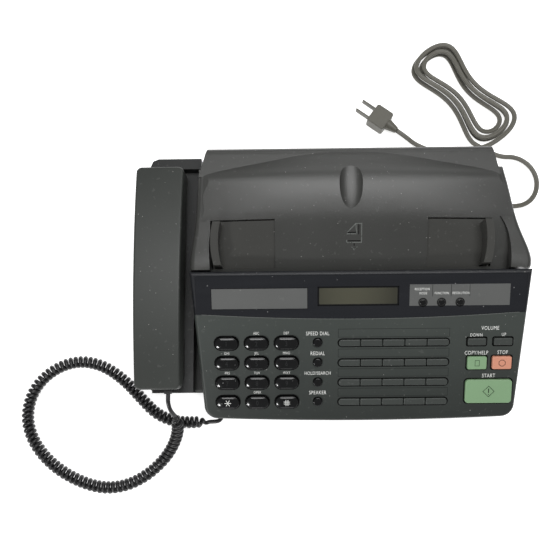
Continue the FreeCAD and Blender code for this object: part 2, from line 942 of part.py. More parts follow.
def tray_tool(drop, grow=0.0):
    """Space above the dome and the document tray, lowered by a drop and widened towards the ears."""
    sky = 150.0
    x0 = path_x - tray_half
    x1 = path_x + tray_half
    first_y = tray_stations[0][0]
    step = (tray_stations[-1][0] - first_y) / tray_sections
    wires = []
    for index in range(tray_sections + 1):
        y = first_y + step * index
        side_z = tray_height(1, y)
        mid_z = tray_height(2, y)
        edges = [
            Part.makeLine(V(x0, y, sky), V(x0, y, side_z - drop)),
            Part.Arc(V(x0, y, side_z - drop), V(path_x, y, mid_z - drop), V(x1, y, side_z - drop)).toShape(),
            Part.makeLine(V(x1, y, side_z - drop), V(x1, y, sky)),
            Part.makeLine(V(x1, y, sky), V(x0, y, sky)),
        ]
        wires.append(Part.Wire(edges))
    tool = Part.makeLoft(wires, True, False)
    for sign in (-1, 1):
        tool = tool.cut(ear_room(sign, grow))
    return tool


def deck_half(sign, y):
    """Reach of the flared deck from the middle of the document path at one place."""
    flare = deck_flare_left if sign < 0 else deck_flare_right
    return tail_half + flare * (deck_rear_y - y)


def deck_block(inset, front, bottom):
    """Flat rear deck with its rounded back edge, drawn in by an inset."""
    rear = deck_rear_y - inset
    corners = [
        V(path_x - deck_half(-1, front) + inset, front, bottom),
        V(path_x + deck_half(1, front) - inset, front, bottom),
        V(path_x + deck_half(1, rear) - inset, rear, bottom),
        V(path_x - deck_half(-1, rear) + inset, rear, bottom),
    ]
    deck = prism(corners, V(0, 0, deck_z - inset - bottom))
    back = [e for e in deck.Edges if e.BoundBox.ZMin > deck_z - inset - 0.01 and e.BoundBox.YMin > notch_y]
    return deck.makeFillet(deck_round - inset, back)


def cover_shell():
    """Hollow cover: dome with its document tray, ears at both sides of the slot and a flat rear deck."""
    outer_wires = []
    for y, left, right, s, m in cover_stations:
        outer_wires.append(cover_section(y, left, right, s, m, cover_bottom_z, cover_corner))
    outer = Part.makeLoft(outer_wires, True, False)
    hollow_wires = []
    for y, left, right, s, m in cover_stations:
        inner_y = y + cover_wall if y == cover_front_y else y
        hollow_wires.append(cover_section(inner_y, left - cover_wall, right - cover_wall, s - cover_wall,
                                          m - cover_wall, cover_bottom_z - 1, cover_corner))
    hollow = Part.makeLoft(hollow_wires, True, False)
    hollow = hollow.cut(tray_tool(cover_wall, cover_wall))
    far = 2 * panel_rear_half
    for sign in (-1, 1):
        x0 = min(path_x + sign * tail_half, path_x + sign * far)
        outer = outer.cut(block(x0, x0 + far - tail_half, notch_y, far, 0, far))
        inner = tail_half - cover_wall
        x0 = min(path_x + sign * inner, path_x + sign * far)
        hollow = hollow.cut(block(x0, x0 + far - inner, notch_y - cover_wall, far, 0, far))
    dome = outer.cut(tray_tool(0)).fuse(deck_block(0, deck_front_y, cover_bottom_z))
    hollow = hollow.fuse(deck_block(cover_wall, deck_front_y + cover_wall, cover_bottom_z - 1))
    return dome.cut(hollow.cut(scoop_tool(cover_wall)))


def guide_window(sign):
    """Opening in the tray for one document guide."""
    x0 = min(path_x + sign * guide_window_inner, path_x + sign * guide_window_outer)
    width = guide_window_outer - guide_window_inner
    return block(x0, x0 + width, guide_front_y - guide_side_play, guide_rear_y + guide_side_play,
                 rack_bottom_z, 150.0)


def scoop_tool(grow):
    """Finger scoop at the top of the cover: a long hollow, or its skin's outside."""
    ball = Part.makeSphere(1.0)
    stretch = FreeCAD.Matrix()
    stretch.scale(scoop_width / 2 + grow, scoop_length / 2 + grow, scoop_depth + grow)
    tool = ball.transformGeometry(stretch)
    tool.rotate(V(0, 0, 0), V(1, 0, 0), scoop_tilt)
    tool.translate(V(path_x, scoop_y, tray_height(2, scoop_y) + scoop_rise))
    return tool


def top_cover():
    """Cover of the paper compartment, with pins, guide windows and the pinion's stud."""
    cover = cover_shell()
    for sign in (-1, 1):
        cover = cover.cut(guide_window(sign))
        inner = cover_lug_outer - cover_lug_thick
        x0 = min(path_x + sign * (inner - 1.5), path_x + sign * (tail_half - cover_wall))
        cover = cover.cut(block(x0, x0 + tail_half - cover_wall - inner + 1.5, cover_pin_y + 4.5,
                                base_rear_y + 1,
                                cover_bottom_z - 1, cover_pin_z + cover_lug_clear))
    tail_room = deck_half(-1, notch_y)
    cover = cover.cut(block(path_x - tail_room, path_x + tail_room, notch_y + 3, base_rear_y + 1,
                            cover_bottom_z - 1, deck_rear_bottom_z))
    cover = cover.cut(scoop_tool(0))
    pieces = [cover]
    for sign in (-1, 1):
        a = path_x + sign * (deck_half(sign, cover_pin_y) - cover_wall / 2)
        b = path_x + sign * (cover_lug_outer - cover_lug_thick)
        pieces.append(rod_x(min(a, b), max(a, b), cover_pin_y, cover_pin_z, cover_pin_radius))
    stud_top = deck_z
    shoulder_z = rack_bottom_z + rack_thick + 0.3
    pin = rod_z(path_x, pinion_y, rack_bottom_z - 1.2, stud_top, pinion_bore_radius)
    stud = pin.fuse(rod_z(path_x, pinion_y, shoulder_z, stud_top, pinion_bore_radius + 2))
    pieces.append(stud.cut(tray_tool(cover_wall / 2)))
    return joined(pieces)


def tooth_half_angle(radius, teeth, module, play):
    """Half the angle that an involute tooth takes up at one radius."""
    pitch = module * teeth / 2
    pressure = math.radians(20)
    base = pitch * math.cos(pressure)
    here = math.acos(min(1.0, base / max(radius, base)))
    flank = (math.tan(pressure) - pressure) - (math.tan(here) - here)
    return math.pi / (2 * teeth) - play / (2 * pitch) + flank


def gear_face(teeth, module, play, phase):
    """Outline of a spur gear in its own plane, with a tooth at the phase angle."""
    pitch = module * teeth / 2
    root = pitch - 1.2 * module
    base = max(root + 0.05, pitch * math.cos(math.radians(20)))
    tip = pitch + 0.9 * module
    points = []
    for tooth in range(teeth):
        middle = phase + 2 * math.pi * tooth / teeth
        radii = [root, base, pitch, tip]
        rise = [(r, middle - tooth_half_angle(r, teeth, module, play)) for r in radii]
        fall = [(r, middle + tooth_half_angle(r, teeth, module, play)) for r in reversed(radii)]
        points += [V(r * math.cos(a), r * math.sin(a), 0) for r, a in rise + fall]
    return Part.Face(Part.makePolygon(points + [points[0]]))


def mate_phase(driver_phase, driver_teeth, mate_teeth, heading):
    """Phase of a gear whose centre lies at a heading from its driver, so that the teeth interleave."""
    pitch = 2 * math.pi / driver_teeth
    offset = (heading - driver_phase) % pitch
    return heading + math.pi + offset * driver_teeth / mate_teeth + math.pi / mate_teeth


def gear_x(teeth, y, z, x0, phase):
    """A spur gear that turns about X."""
    body = gear_face(teeth, gear_module, tooth_play, phase).extrude(V(0, 0, gear_width))
    body.Placement = FreeCAD.Placement(V(x0, y, z), FreeCAD.Rotation(V(1, 1, 1), 120))
    return body


def guide_pinion():
    """Pinion between the two racks."""
    body = gear_face(pinion_teeth, rack_module, tooth_play, -math.pi / 2).extrude(V(0, 0, rack_thick))
    body.translate(V(path_x, pinion_y, rack_bottom_z))
    return body.cut(rod_z(path_x, pinion_y, 0, 2 * rack_bottom_z, pinion_bore_radius + pin_play))


def guide_rack(side):
    """Rack of the left guide (side -1, in front of the pinion) or of the right one (side 1, behind it)."""
    pitch = math.pi * rack_module
    slant = math.tan(math.radians(20))
    tip = 0.9 * rack_module
    root = 1.2 * rack_module
    half = pitch / 4 - tooth_play / 2
    spare_teeth = 4
    travel_teeth = int(guide_travel / pitch) + spare_teeth
    line_y = pinion_y + side * rack_module * pinion_teeth / 2
    root_y = line_y + side * root
    tip_y = line_y - side * tip
    back_y = root_y + side * rack_back
    inner_x = path_x - side * (spare_teeth + 0.2) * pitch
    outer_x = path_x + side * (guide_inner_half - guide_fin_thick)
    outline = [(inner_x, back_y), (inner_x, root_y)]
    for tooth in range(-spare_teeth, travel_teeth):
        middle = path_x + side * (tooth + 0.5) * pitch
        outline.append((middle - side * (half + root * slant), root_y))
        outline.append((middle - side * (half - tip * slant), tip_y))
        outline.append((middle + side * (half - tip * slant), tip_y))
        outline.append((middle + side * (half + root * slant), root_y))
    outline += [(outer_x, root_y), (outer_x, back_y)]
    return prism([V(x, y, rack_bottom_z) for x, y in outline], V(0, 0, rack_thick))


def document_guide(side):
    """Sliding document guide: sunk plate, upright fin, web and rack."""
    sunk = cover_wall + guide_skin_gap
    deep = sunk + guide_plate_thick
    front = guide_front_y
    rear = guide_rear_y
    fin_x = path_x + side * guide_inner_half
    plate_x = path_x + side * guide_plate_inner
    far_x = fin_x + side * guide_fin_thick
    tall = 150.0
    under = tray_tool(deep)
    plate = block(min(plate_x, far_x), max(plate_x, far_x), front, rear, 0, tall)
    plate = plate.common(under).cut(tray_tool(sunk))
    fin_rear = guide_fin_rear_y
    middle = (front + fin_rear) / 2
    bow = side * guide_fin_bow
    thick = side * guide_fin_thick
    edges = [
        Part.Arc(V(fin_x, front, 0), V(fin_x + bow, middle, 0), V(fin_x, fin_rear, 0)).toShape(),
        Part.makeLine(V(fin_x, fin_rear, 0), V(fin_x + thick, fin_rear, 0)),
        Part.Arc(V(fin_x + thick, fin_rear, 0), V(fin_x + thick + bow, middle, 0),
                 V(fin_x + thick, front, 0)).toShape(),
        Part.makeLine(V(fin_x + thick, front, 0), V(fin_x, front, 0)),
    ]
    fin = Part.Face(Part.Wire(edges)).extrude(V(0, 0, tall))
    fin = fin.common(under).cut(tray_tool(-guide_fin_height))
    foot = block(min(fin_x, fin_x + bow + thick), max(fin_x, fin_x + bow + thick), front, rear, 0, tall)
    foot = foot.common(under).cut(tray_tool(sunk))
    rack_y = pinion_y + side * (rack_module * pinion_teeth / 2 + 1.2 * rack_module)
    web_end = far_x - side * 2 * guide_fin_thick
    web_start = plate_x + side * 3 * guide_fin_thick
    web = block(min(web_start, web_end), max(web_start, web_end), min(rack_y, rack_y + side * rack_back),
                max(rack_y, rack_y + side * rack_back), rack_bottom_z, tall)
    web = web.cut(tray_tool(deep - guide_plate_thick / 2))
    return joined([plate, foot, fin, web, guide_rack(side)])


def handset_bar():
    """Arched bar of the handset with rounded ends and top edges."""
    last = handset_length
    wide = 2 * handset_ear_half
    corners = [
        V(-handset_mouth_half, 0, grip_bottom),
        V(handset_mouth_half, 0, grip_bottom),
        V(handset_ear_half, last, grip_bottom),
        V(-handset_ear_half, last, grip_bottom),
    ]
    plan = prism(corners, V(0, 0, 2 * handset_crest))
    upright = [e for e in plan.Edges if e.BoundBox.ZLength > handset_crest]
    plan = plan.makeFillet(handset_corner, upright)
    edges = [
        Part.makeLine(V(-wide, 0, grip_bottom), V(-wide, last, grip_bottom)),
        Part.makeLine(V(-wide, last, grip_bottom), V(-wide, last, handset_ear_top)),
        Part.Arc(V(-wide, last, handset_ear_top), V(-wide, last / 2, handset_crest),
                 V(-wide, 0, handset_mouth_top)).toShape(),
        Part.makeLine(V(-wide, 0, handset_mouth_top), V(-wide, 0, grip_bottom)),
    ]
    profile = Part.Face(Part.Wire(edges)).extrude(V(2 * wide, 0, 0))
    bar = plan.common(profile)
    return bar.makeFillet(handset_round, [e for e in bar.Edges if e.BoundBox.ZMin > handset_split])


def cup_places():
    """Middles of the mouth and ear cups along the handset."""
    inset = 4.0 + cup_length / 2
    return [inset, handset_length - inset]


def handset_plug_box(play, front, back):
    """Space of the small plug at the handset's front end, in the handset's own frame."""
    half = cord_plug_side / 2 + play
    return block(handset_plug_offset - half, handset_plug_offset + half, -front, back,
                 handset_plug_height - half, handset_plug_height + half)


def handset_back():
    """Upper shell of the handset."""
    far = 300.0
    shell = handset_bar().common(block(-far, far, -far, far, handset_split, far))
    hollow = block(-14, 14, 18, handset_length - 18, handset_split - 1, handset_split + 11)
    return on_cradle(shell.cut(hollow))


def handset_face():
    """Lower shell of the handset with the mouth and ear cups."""
    far = 300.0
    shell = handset_bar().common(block(-far, far, -far, far, -far, handset_split))
    pieces = [shell]
    for y in cup_places():
        cup = rounded_block(0, y, 2 * cup_half, cup_length, cup_corner, 0, handset_split)
        bottom = [e for e in cup.Edges if e.BoundBox.ZMax < 0.01]
        pieces.append(cup.makeFillet(1.5, bottom))
    face = joined(pieces)
    face = face.cut(block(-14, 14, 18, handset_length - 18, grip_bottom + 2.5, handset_split + 1))
    for y in cup_places():
        face = face.cut(rod_z(0, y, 3.0, handset_split + 1, 15.0))
        for turn in range(6):
            angle = math.pi * turn / 3
            face = face.cut(rod_z(6.5 * math.cos(angle), y + 6.5 * math.sin(angle), -1, 4.0, 1.1))
        face = face.cut(rod_z(0, y, -1, 4.0, 1.1))
    face = face.cut(handset_plug_box(cord_plug_play, 1, cord_plug_depth))
    return on_cradle(face)


def handset_cord_plug():
    """Small plug of the curly lead in the handset."""
    return on_cradle(handset_plug_box(0, cord_plug_reach, cord_plug_depth - cord_plug_play))


def handset_plug_face():
    """Where the curly lead meets the plug in the handset, and which way it leaves."""
    a = math.radians(handset_slope)
    out = V(0, -math.cos(a), -math.sin(a))
    end = V(handset_x + handset_plug_offset, handset_front_y, handset_base_z)
    rise = V(0, -math.sin(a), math.cos(a)) * handset_plug_height
    return end.add(rise).add(out * cord_plug_reach), out


def base_plug_socket():
    """Socket of the small plug in the front wall of the base."""
    half = cord_plug_side / 2 + cord_plug_play
    return block(base_plug_x - half, base_plug_x + half, base_front_y - 1, base_front_y + 2 * wall,
                 base_plug_z - half, base_plug_z + half)


def base_cord_plug():
    """Small plug of the curly lead in the base."""
    half = cord_plug_side / 2
    return block(base_plug_x - half, base_plug_x + half, base_front_y - cord_plug_reach, base_front_y + wall,
                 base_plug_z - half, base_plug_z + half)


def base_plug_face():
    """Where the curly lead meets the plug in the base, and which way it leaves."""
    return V(base_plug_x, base_front_y - cord_plug_reach, base_plug_z), V(0, -1, 0)


def cradle_outline(inset, z):
    """Plan of the cradle, which follows the cabinet's side."""
    gap = cover_gap + inset
    left = cradle_left_x + inset
    front = cradle_front_y + inset
    rear = base_rear_y - inset
    c = cradle_corner
    right = [
        (cradle_right_x - inset, front),
        (cradle_right_x - inset, hip_front_y - 14),
        (body_x - hip_rear_left_half - gap, hip_rear_y),
        (path_x - rear_half - gap, notch_y),
        (path_x - rear_half - gap, rear),
    ]
    turn = c * (1 - math.sqrt(0.5))
    left_side = [
        (left + c, rear),
        (left + turn, rear - turn),
        (left, rear - c),
        (left, front + c),
        (left + turn, front + turn),
        (left + c, front),
    ]
    return [V(x, y, z) for x, y in right + left_side]


def hook_block(play, low, high):
    """Space of the hook switch under the ear cup, in the handset's own frame."""
    y = cup_places()[1]
    return block(-hook_width / 2 - play, hook_width / 2 + play, y - hook_length / 2 - play,
                 y + hook_length / 2 + play,
                 low, high)


def handset_cradle():
    """Cradle with two pockets for the handset's cups."""
    tall = 100.0
    low = cradle_seam_z + 0.2
    far = 400.0
    shell = prism(cradle_outline(0, low), V(0, 0, tall))
    shell = shell.cut(on_cradle(block(-far, far, -far, far, handset_pocket, far)))
    hollow = prism(cradle_outline(wall, low - 1), V(0, 0, tall))
    hollow = hollow.cut(on_cradle(block(-far, far, -far, far, -wall - handset_rest_gap, far)))
    lip_front = handset_front_y + handset_length + cradle_lip_gap
    lip = prism(cradle_outline(0, low), V(0, 0, cradle_lip_z - low))
    lip = lip.common(block(-far, far, lip_front, far, 0, far))
    cradle = joined([shell.cut(hollow), lip])
    for y in cup_places():
        pocket = rounded_block(0, y, 2 * (cup_half + handset_play), cup_length + 2 * handset_play,
                               cup_corner + handset_play, -handset_rest_gap, tall)
        cradle = cradle.cut(on_cradle(pocket))
    return cradle.cut(on_cradle(hook_block(hook_play, -tall, tall)))


def hook_switch():
    """Hook switch button under the ear cup."""
    return on_cradle(hook_block(0, -2 * wall - 2 * hook_travel, -handset_rest_gap - 0.1))


def gear_line_x():
    """Where the gears start, outside the right inner wall."""
    return body_x + frame_half + frame_thick + gear_side_gap


def heading_between(from_y, from_z, to_y, to_z):
    """Heading from one shaft to another, seen along X."""
    return math.atan2(to_z - from_z, to_y - from_y)


def mesh_distance(teeth_a, teeth_b):
    """Distance between the shafts of two gears that mesh."""
    return gear_module * (teeth_a + teeth_b) / 2 + gear_centre_play


def idler_place():
    """Idler shaft, at its meshing distance from both roller shafts."""
    reach = mesh_distance(idler_teeth, roller_teeth)
    middle_y = (platen_y + feed_y) / 2
    middle_z = (platen_z + feed_z) / 2
    span = math.hypot(platen_y - feed_y, platen_z - feed_z)
    rise = math.sqrt(reach * reach - span * span / 4)
    return middle_y, middle_z - rise


def motor_place():
    """Motor shaft, behind and below the platen shaft."""
    reach = mesh_distance(roller_teeth, motor_teeth)
    heading = math.radians(motor_heading)
    return platen_y + reach * math.cos(heading), platen_z + reach * math.sin(heading)


def idler_phase():
    """Phase of the idler's teeth."""
    return 0.0


def roller_phase(y, z):
    """Phase of a roller's gear that meshes with the idler."""
    iy, iz = idler_place()
    return mate_phase(idler_phase(), idler_teeth, roller_teeth, heading_between(iy, iz, y, z))


def roller(y, z, radius):
    """Rubber roller on its shaft, with its gear."""
    left = body_x - frame_half - frame_thick - 2
    gear_start = gear_line_x()
    shaft = rod_x(left, gear_start + gear_width, y, z, shaft_radius)
    gear = gear_x(roller_teeth, y, z, gear_start, roller_phase(y, z))
    core = joined([shaft, gear])
    sleeve = rod_x(body_x - roller_half, body_x + roller_half, y, z, radius)
    sleeve = sleeve.cut(rod_x(left, gear_start, y, z, shaft_radius))
    return Part.makeCompound([core, sleeve])


def idler_pin():
    """Fixed stud that the idler turns on."""
    y, z = idler_place()
    start = body_x + frame_half + frame_thick / 2
    return rod_x(start, gear_line_x() + gear_width, y, z, shaft_radius)


def idler_gear():
    """Idler between the motor and the rollers."""
    y, z = idler_place()
    start = gear_line_x()
    body = gear_x(idler_teeth, y, z, start, idler_phase())
    return body.cut(rod_x(start - 1, start + gear_width + 1, y, z, shaft_radius + spindle_play))


def motor_gear():
    """Pinion on the motor's shaft."""
    y, z = motor_place()
    phase = mate_phase(roller_phase(platen_y, platen_z), roller_teeth, motor_teeth,
                       math.radians(motor_heading))
    start = gear_line_x()
    gear = gear_x(motor_teeth, y, z, start, phase)
    shaft = rod_x(body_x + frame_half - motor_length / 2, start + gear_width, y, z, shaft_radius / 2)
    return joined([gear, shaft])


def motor_boss_hole():
    """Way through the right inner wall for the motor's shaft."""
    y, z = motor_place()
    return rod_x(body_x + frame_half - 1, body_x + frame_half + 2 * frame_thick, y, z, 2 * shaft_radius)


def drive_motor():
    """Stepper motor can on the inner wall."""
    y, z = motor_place()
    end = body_x + frame_half
    start = end - motor_length
    can = rod_x(start, end, y, z, motor_radius)
    ear = 1.5 * motor_radius
    plate = block(end - 2, end, y - ear, y + ear, z - motor_radius / 2, z + motor_radius / 2)
    bore = rod_x(end - motor_length / 2 - 0.5, end + 1, y, z, shaft_radius / 2 + spindle_play)
    return joined([can, plate]).cut(bore)


def paper_roll():
    """Paper wound on a core, with stub spindles in the inner walls."""
    half = roller_half - 1
    paper = rod_x(body_x - half, body_x + half, roll_y, roll_z, roll_radius)
    reach = frame_half + frame_thick
    spindle = rod_x(body_x - reach, body_x + reach, roll_y, roll_z, spindle_radius)
    rim = rod_x(body_x - half - 3, body_x + half + 3, roll_y, roll_z, roll_core_radius)
    return joined([paper, rim, spindle])


def thermal_head():
    """Line print head under the platen, on its bracket."""
    top = platen_z - platen_radius - 0.4
    half = roller_half + 2
    bar = block(body_x - half, body_x + half, platen_y - 9, platen_y + 9, top - head_thick, top)
    foot = block(body_x - half, body_x + half, platen_y - 2, platen_y + 2, floor_bottom + wall,
                 top - head_thick)
    return joined([bar, foot])


def image_sensor():
    """Contact image sensor in front of the feed roller."""
    half = roller_half + 2
    y = feed_y - feed_radius - 16
    bar = block(body_x - half, body_x + half, y - 8, y + 8, feed_z - 6, feed_z + 6)
    legs = [
        block(body_x + sx * half - 4, body_x + sx * half + 4, y - 5, y + 5, floor_bottom + wall, feed_z - 6)
        for sx in (-0.9, 0.9)
    ]
    return joined([bar] + legs)


def main_board():
    """Main circuit board with its larger components."""
    x = body_x - 55
    plate = block(x - 52, x + 52, -98, -46, logic_board_z, logic_board_z + board_thick)
    top = logic_board_z + board_thick
    parts_on_board = [
        block(x - 40, x - 20, -92, -72, top, top + 3),
        block(x - 10, x + 18, -90, -68, top, top + 3.5),
        rod_z(x + 38, -58, top, top + 9, 6),
        block(x - 44, x - 24, -60, -48, top, top + 10),
    ]
    return joined([plate] + parts_on_board)


def loudspeaker():
    """Small loudspeaker over the sound holes in the floor."""
    low = floor_bottom + wall
    frame = rod_z(speaker_x, speaker_y, low, low + 3, speaker_radius)
    magnet = rod_z(speaker_x, speaker_y, low + 3, low + speaker_height, speaker_radius * 0.55)
    cone = rod_z(speaker_x, speaker_y, low - 1, low + 2, speaker_radius - 6)
    return joined([frame, magnet]).cut(cone)


def jack_block(play):
    """Space of the line sockets in the rear wall."""
    z = floor_bottom + wall + 6
    half = jack_width / 2 + play
    return block(jack_x - half, jack_x + half, base_rear_y - jack_depth, base_rear_y + play, z - play,
                 z + jack_height + play)


def line_jacks():
    """Block with two line sockets and its foot on the floor."""
    body = jack_block(0)
    box = body.BoundBox
    for sign in (-1, 1):
        x = jack_x + sign * jack_width / 4
        body = body.cut(block(x - 5, x + 5, base_rear_y - 10, base_rear_y + 1, box.ZMin + 4, box.ZMin + 12))
    foot = block(box.XMin + 4, box.XMax - 4, box.YMin, box.YMin + 6, floor_bottom + wall, box.ZMin)
    return joined([body, foot])


def gland_x():
    """Outer face of the right wall where the mains lead leaves."""
    share = (mains_y - hip_rear_y) / (notch_y - hip_rear_y)
    return body_x + hip_rear_half + (rear_half + path_offset - hip_rear_half) * share


def gland_stem(play):
    """Stem of the strain relief through the wall."""
    x = gland_x()
    return rod_x(x - wall - 3, x + gland_seat + 1, mains_y, mains_z, gland_radius - 1.8 + play)


def gland_tip():
    """Where the mains lead leaves the strain relief."""
    return V(gland_x() + gland_seat + gland_length, mains_y, mains_z)


def mains_strain_relief():
    """Tapered strain relief of the mains lead."""
    x = gland_x() + gland_seat
    taper = Part.makeCone(gland_radius, mains_diameter / 2 + 0.6, gland_length, V(x, mains_y, mains_z),
                          V(1, 0, 0))
    return joined([taper, gland_stem(0)])


def arc_edge(start, heading, end):
    """An arc that leaves the start along a heading and ends at a point."""
    chord = end.sub(start)
    along = heading * chord.dot(heading)
    side = chord.sub(along)
    if side.Length < 1e-6 * chord.Length:
        return Part.makeLine(start, end)
    side.normalize()
    centre = start.add(side * (chord.Length ** 2 / (2 * chord.dot(side))))
    radius = centre.sub(start).Length
    middle = start.add(chord * 0.5).sub(centre)
    middle.normalize()
    if chord.dot(heading) < 0:
        middle = middle * -1
    return Part.Arc(start, centre.add(middle * radius), end).toShape()


def biarc(p1, t1, p2, t2):
    """Two tangent arcs between two points with given headings."""
    v = p2.sub(p1)
    t = t1.add(t2)
    k = 2 * (1 - t1.dot(t2))
    if k < 1e-9:
        d = v.dot(v) / (4 * v.dot(t2))
    else:
        d = (-v.dot(t) + math.sqrt(v.dot(t) ** 2 + k * v.dot(v))) / k
    joint = (p1.add(p2).add((t1.sub(t2)) * d)) * 0.5
    first = arc_edge(p1, t1, joint)
    back = arc_edge(p2, t2 * -1, joint)
    return [first, back]


def tube(edges, start, heading, diameter):
    """A round tube along joined edges."""
    ring = Part.Wire([Part.makeCircle(diameter / 2, start, heading)])
    spine = Part.Wire(Part.__sortEdges__(edges))
    return spine.makePipeShell([ring], True, False), spine.Length


def report_tube(name, solid, length, diameter):
    """Print a tube's length and how its volume compares with section times length."""
    share = solid.Volume / (math.pi * diameter ** 2 / 4 * length)
    print(name, "length %.0f mm, volume share %.4f, valid %s" % (length, share, solid.isValid()))


def rounded_run(name, points, diameter):
    """A tube along straight runs joined by tangent arcs."""
    edges = []
    radii = []
    here = points[0]
    for before, corner, after in zip(points, points[1:], points[2:]):
        a = before.sub(corner)
        b = after.sub(corner)
        run = min(a.Length, b.Length)
        turn = math.pi - a.getAngle(b)
        setback = 0.45 * run
        radii.append(setback / math.tan(turn / 2))
        a.normalize()
        b.normalize()
        start = corner.add(a * setback)
        end = corner.add(b * setback)
        bisector = a.add(b)
        bisector.normalize()
        sag = math.hypot(setback, radii[-1]) - radii[-1]
        edges.append(Part.makeLine(here, start))
        edges.append(Part.Arc(start, corner.add(bisector * sag), end).toShape())
        here = end
    edges.append(Part.makeLine(here, points[-1]))
    solid, length = tube(edges, points[0], points[1].sub(points[0]), diameter)
    print(name, "bend radii", " ".join("%.0f" % r for r in radii))
    report_tube(name, solid, length, diameter)
    return solid


def hank_point(turn):
    """A point of the hank: bow-tie loops that spiral in and out again in two layers."""
    loops = (turn - math.pi - hank_entry_turn) / (2 * math.pi)
    total = hank_loops - hank_entry_turn / (2 * math.pi)
    depth = loops if loops < total / 2 else total - loops
    climb = (loops - total / 2) / 0.22 + 0.5
    rise = min(1.0, max(0.0, climb))
    rise = rise * rise * (3 - 2 * rise)
    heading = math.radians(hank_heading)
    along = V(math.cos(heading), math.sin(heading), 0)
    across = V(math.sin(heading), -math.cos(heading), 0)
    reach = hank_half_length - hank_step * depth
    waist = hank_waist - hank_step * depth
    swell = hank_swell - hank_swell_step * depth
    side = math.sin(turn) * (waist + swell * math.cos(turn) ** 2)
    z = hank_low_z + (hank_high_z - hank_low_z) * rise
    return hank_centre.add(along * (reach * math.cos(turn))).add(across * side).add(V(0, 0, z))


def heading_of(curve, at, step):
    """Unit heading of a curve given as a function."""
    t = curve(at + step).sub(curve(at - step))
    t.normalize()
    return t


def hank_turns():
    """Turn angles of the hank from its first point to its last."""
    first = math.pi + hank_entry_turn
    last = math.pi + 2 * math.pi * hank_loops
    count = hank_loops * hank_steps_per_loop
    return [first + (last - first) * i / count for i in range(count + 1)]


def least_gap(points, diameter, skip):
    """Least clear gap between far-apart stretches of a tube, on points along it."""
    best = 1e9
    for i, p in enumerate(points):
        for q in points[i + skip:]:
            gap = p.distanceToPoint(q)
            if gap < best:
                best = gap
    return best - diameter


def curve_solid(name, curve, stations, step, diameter, skip):
    """A tube on biarcs through a curve's stations, with its own least gap printed."""
    points = [curve(s) for s in stations]
    headings = [heading_of(curve, s, step) for s in stations]
    edges = []
    for p1, t1, p2, t2 in zip(points, headings, points[1:], headings[1:]):
        edges += biarc(p1, t1, p2, t2)
    solid, length = tube(edges, points[0], headings[0], diameter)
    samples = []
    for edge in edges:
        samples += edge.discretize(4)[:-1]
    print(name, "least gap to itself %.2f mm" % least_gap(samples, diameter, skip))
    report_tube(name, solid, length, diameter)
    return solid


def mains_cord_hank():
    """Tied hank of the mains lead."""
    return curve_solid("mains_cord_hank", hank_point, hank_turns(), 0.01, mains_diameter, 24)


def mains_cord():
    """Free stretches of the mains lead before and after the hank."""
    turns = hank_turns()
    start = hank_point(turns[0])
    before_start = start.sub(heading_of(hank_point, turns[0], 0.01) * mains_entry_last_run)
    end = hank_point(turns[-1])
    after_end = end.add(heading_of(hank_point, turns[-1], 0.01) * mains_exit_first_run)
    toward_plug = V(math.cos(math.radians(plug_heading)), math.sin(math.radians(plug_heading)), 0)
    before_plug = plug_face.sub(toward_plug * mains_exit_last_run)
    entry = [gland_tip()] + mains_entry + [before_start, start]
    leave = [end, after_end] + mains_exit + [before_plug, plug_face]
    first = rounded_run("mains_cord_entry", entry, mains_diameter)
    last = rounded_run("mains_cord_exit", leave, mains_diameter)
    return first, last


def mains_plug():
    """Moulded plug with two flat blades."""
    neck = Part.makeCone(mains_diameter / 2 + 0.8, plug_height / 2 - 0.6, plug_neck, V(0, 0, 0), V(1, 0, 0))
    body = rounded_block(plug_neck + (plug_length - plug_neck) / 2, 0, plug_length - plug_neck, plug_width,
                         2.5,
                         -plug_height / 2, plug_height / 2)
    pieces = [neck, soften_top(body, plug_height / 2, 1.2)]
    for sign in (-1, 1):
        y = sign * blade_spacing / 2
        pieces.append(block(plug_length - 2, plug_length + blade_length, y - blade_thick / 2,
                            y + blade_thick / 2,
                            -blade_width / 2, blade_width / 2))
    plug = joined(pieces)
    plug.rotate(V(0, 0, 0), V(0, 0, 1), plug_heading)
    plug.translate(plug_face)
    return plug


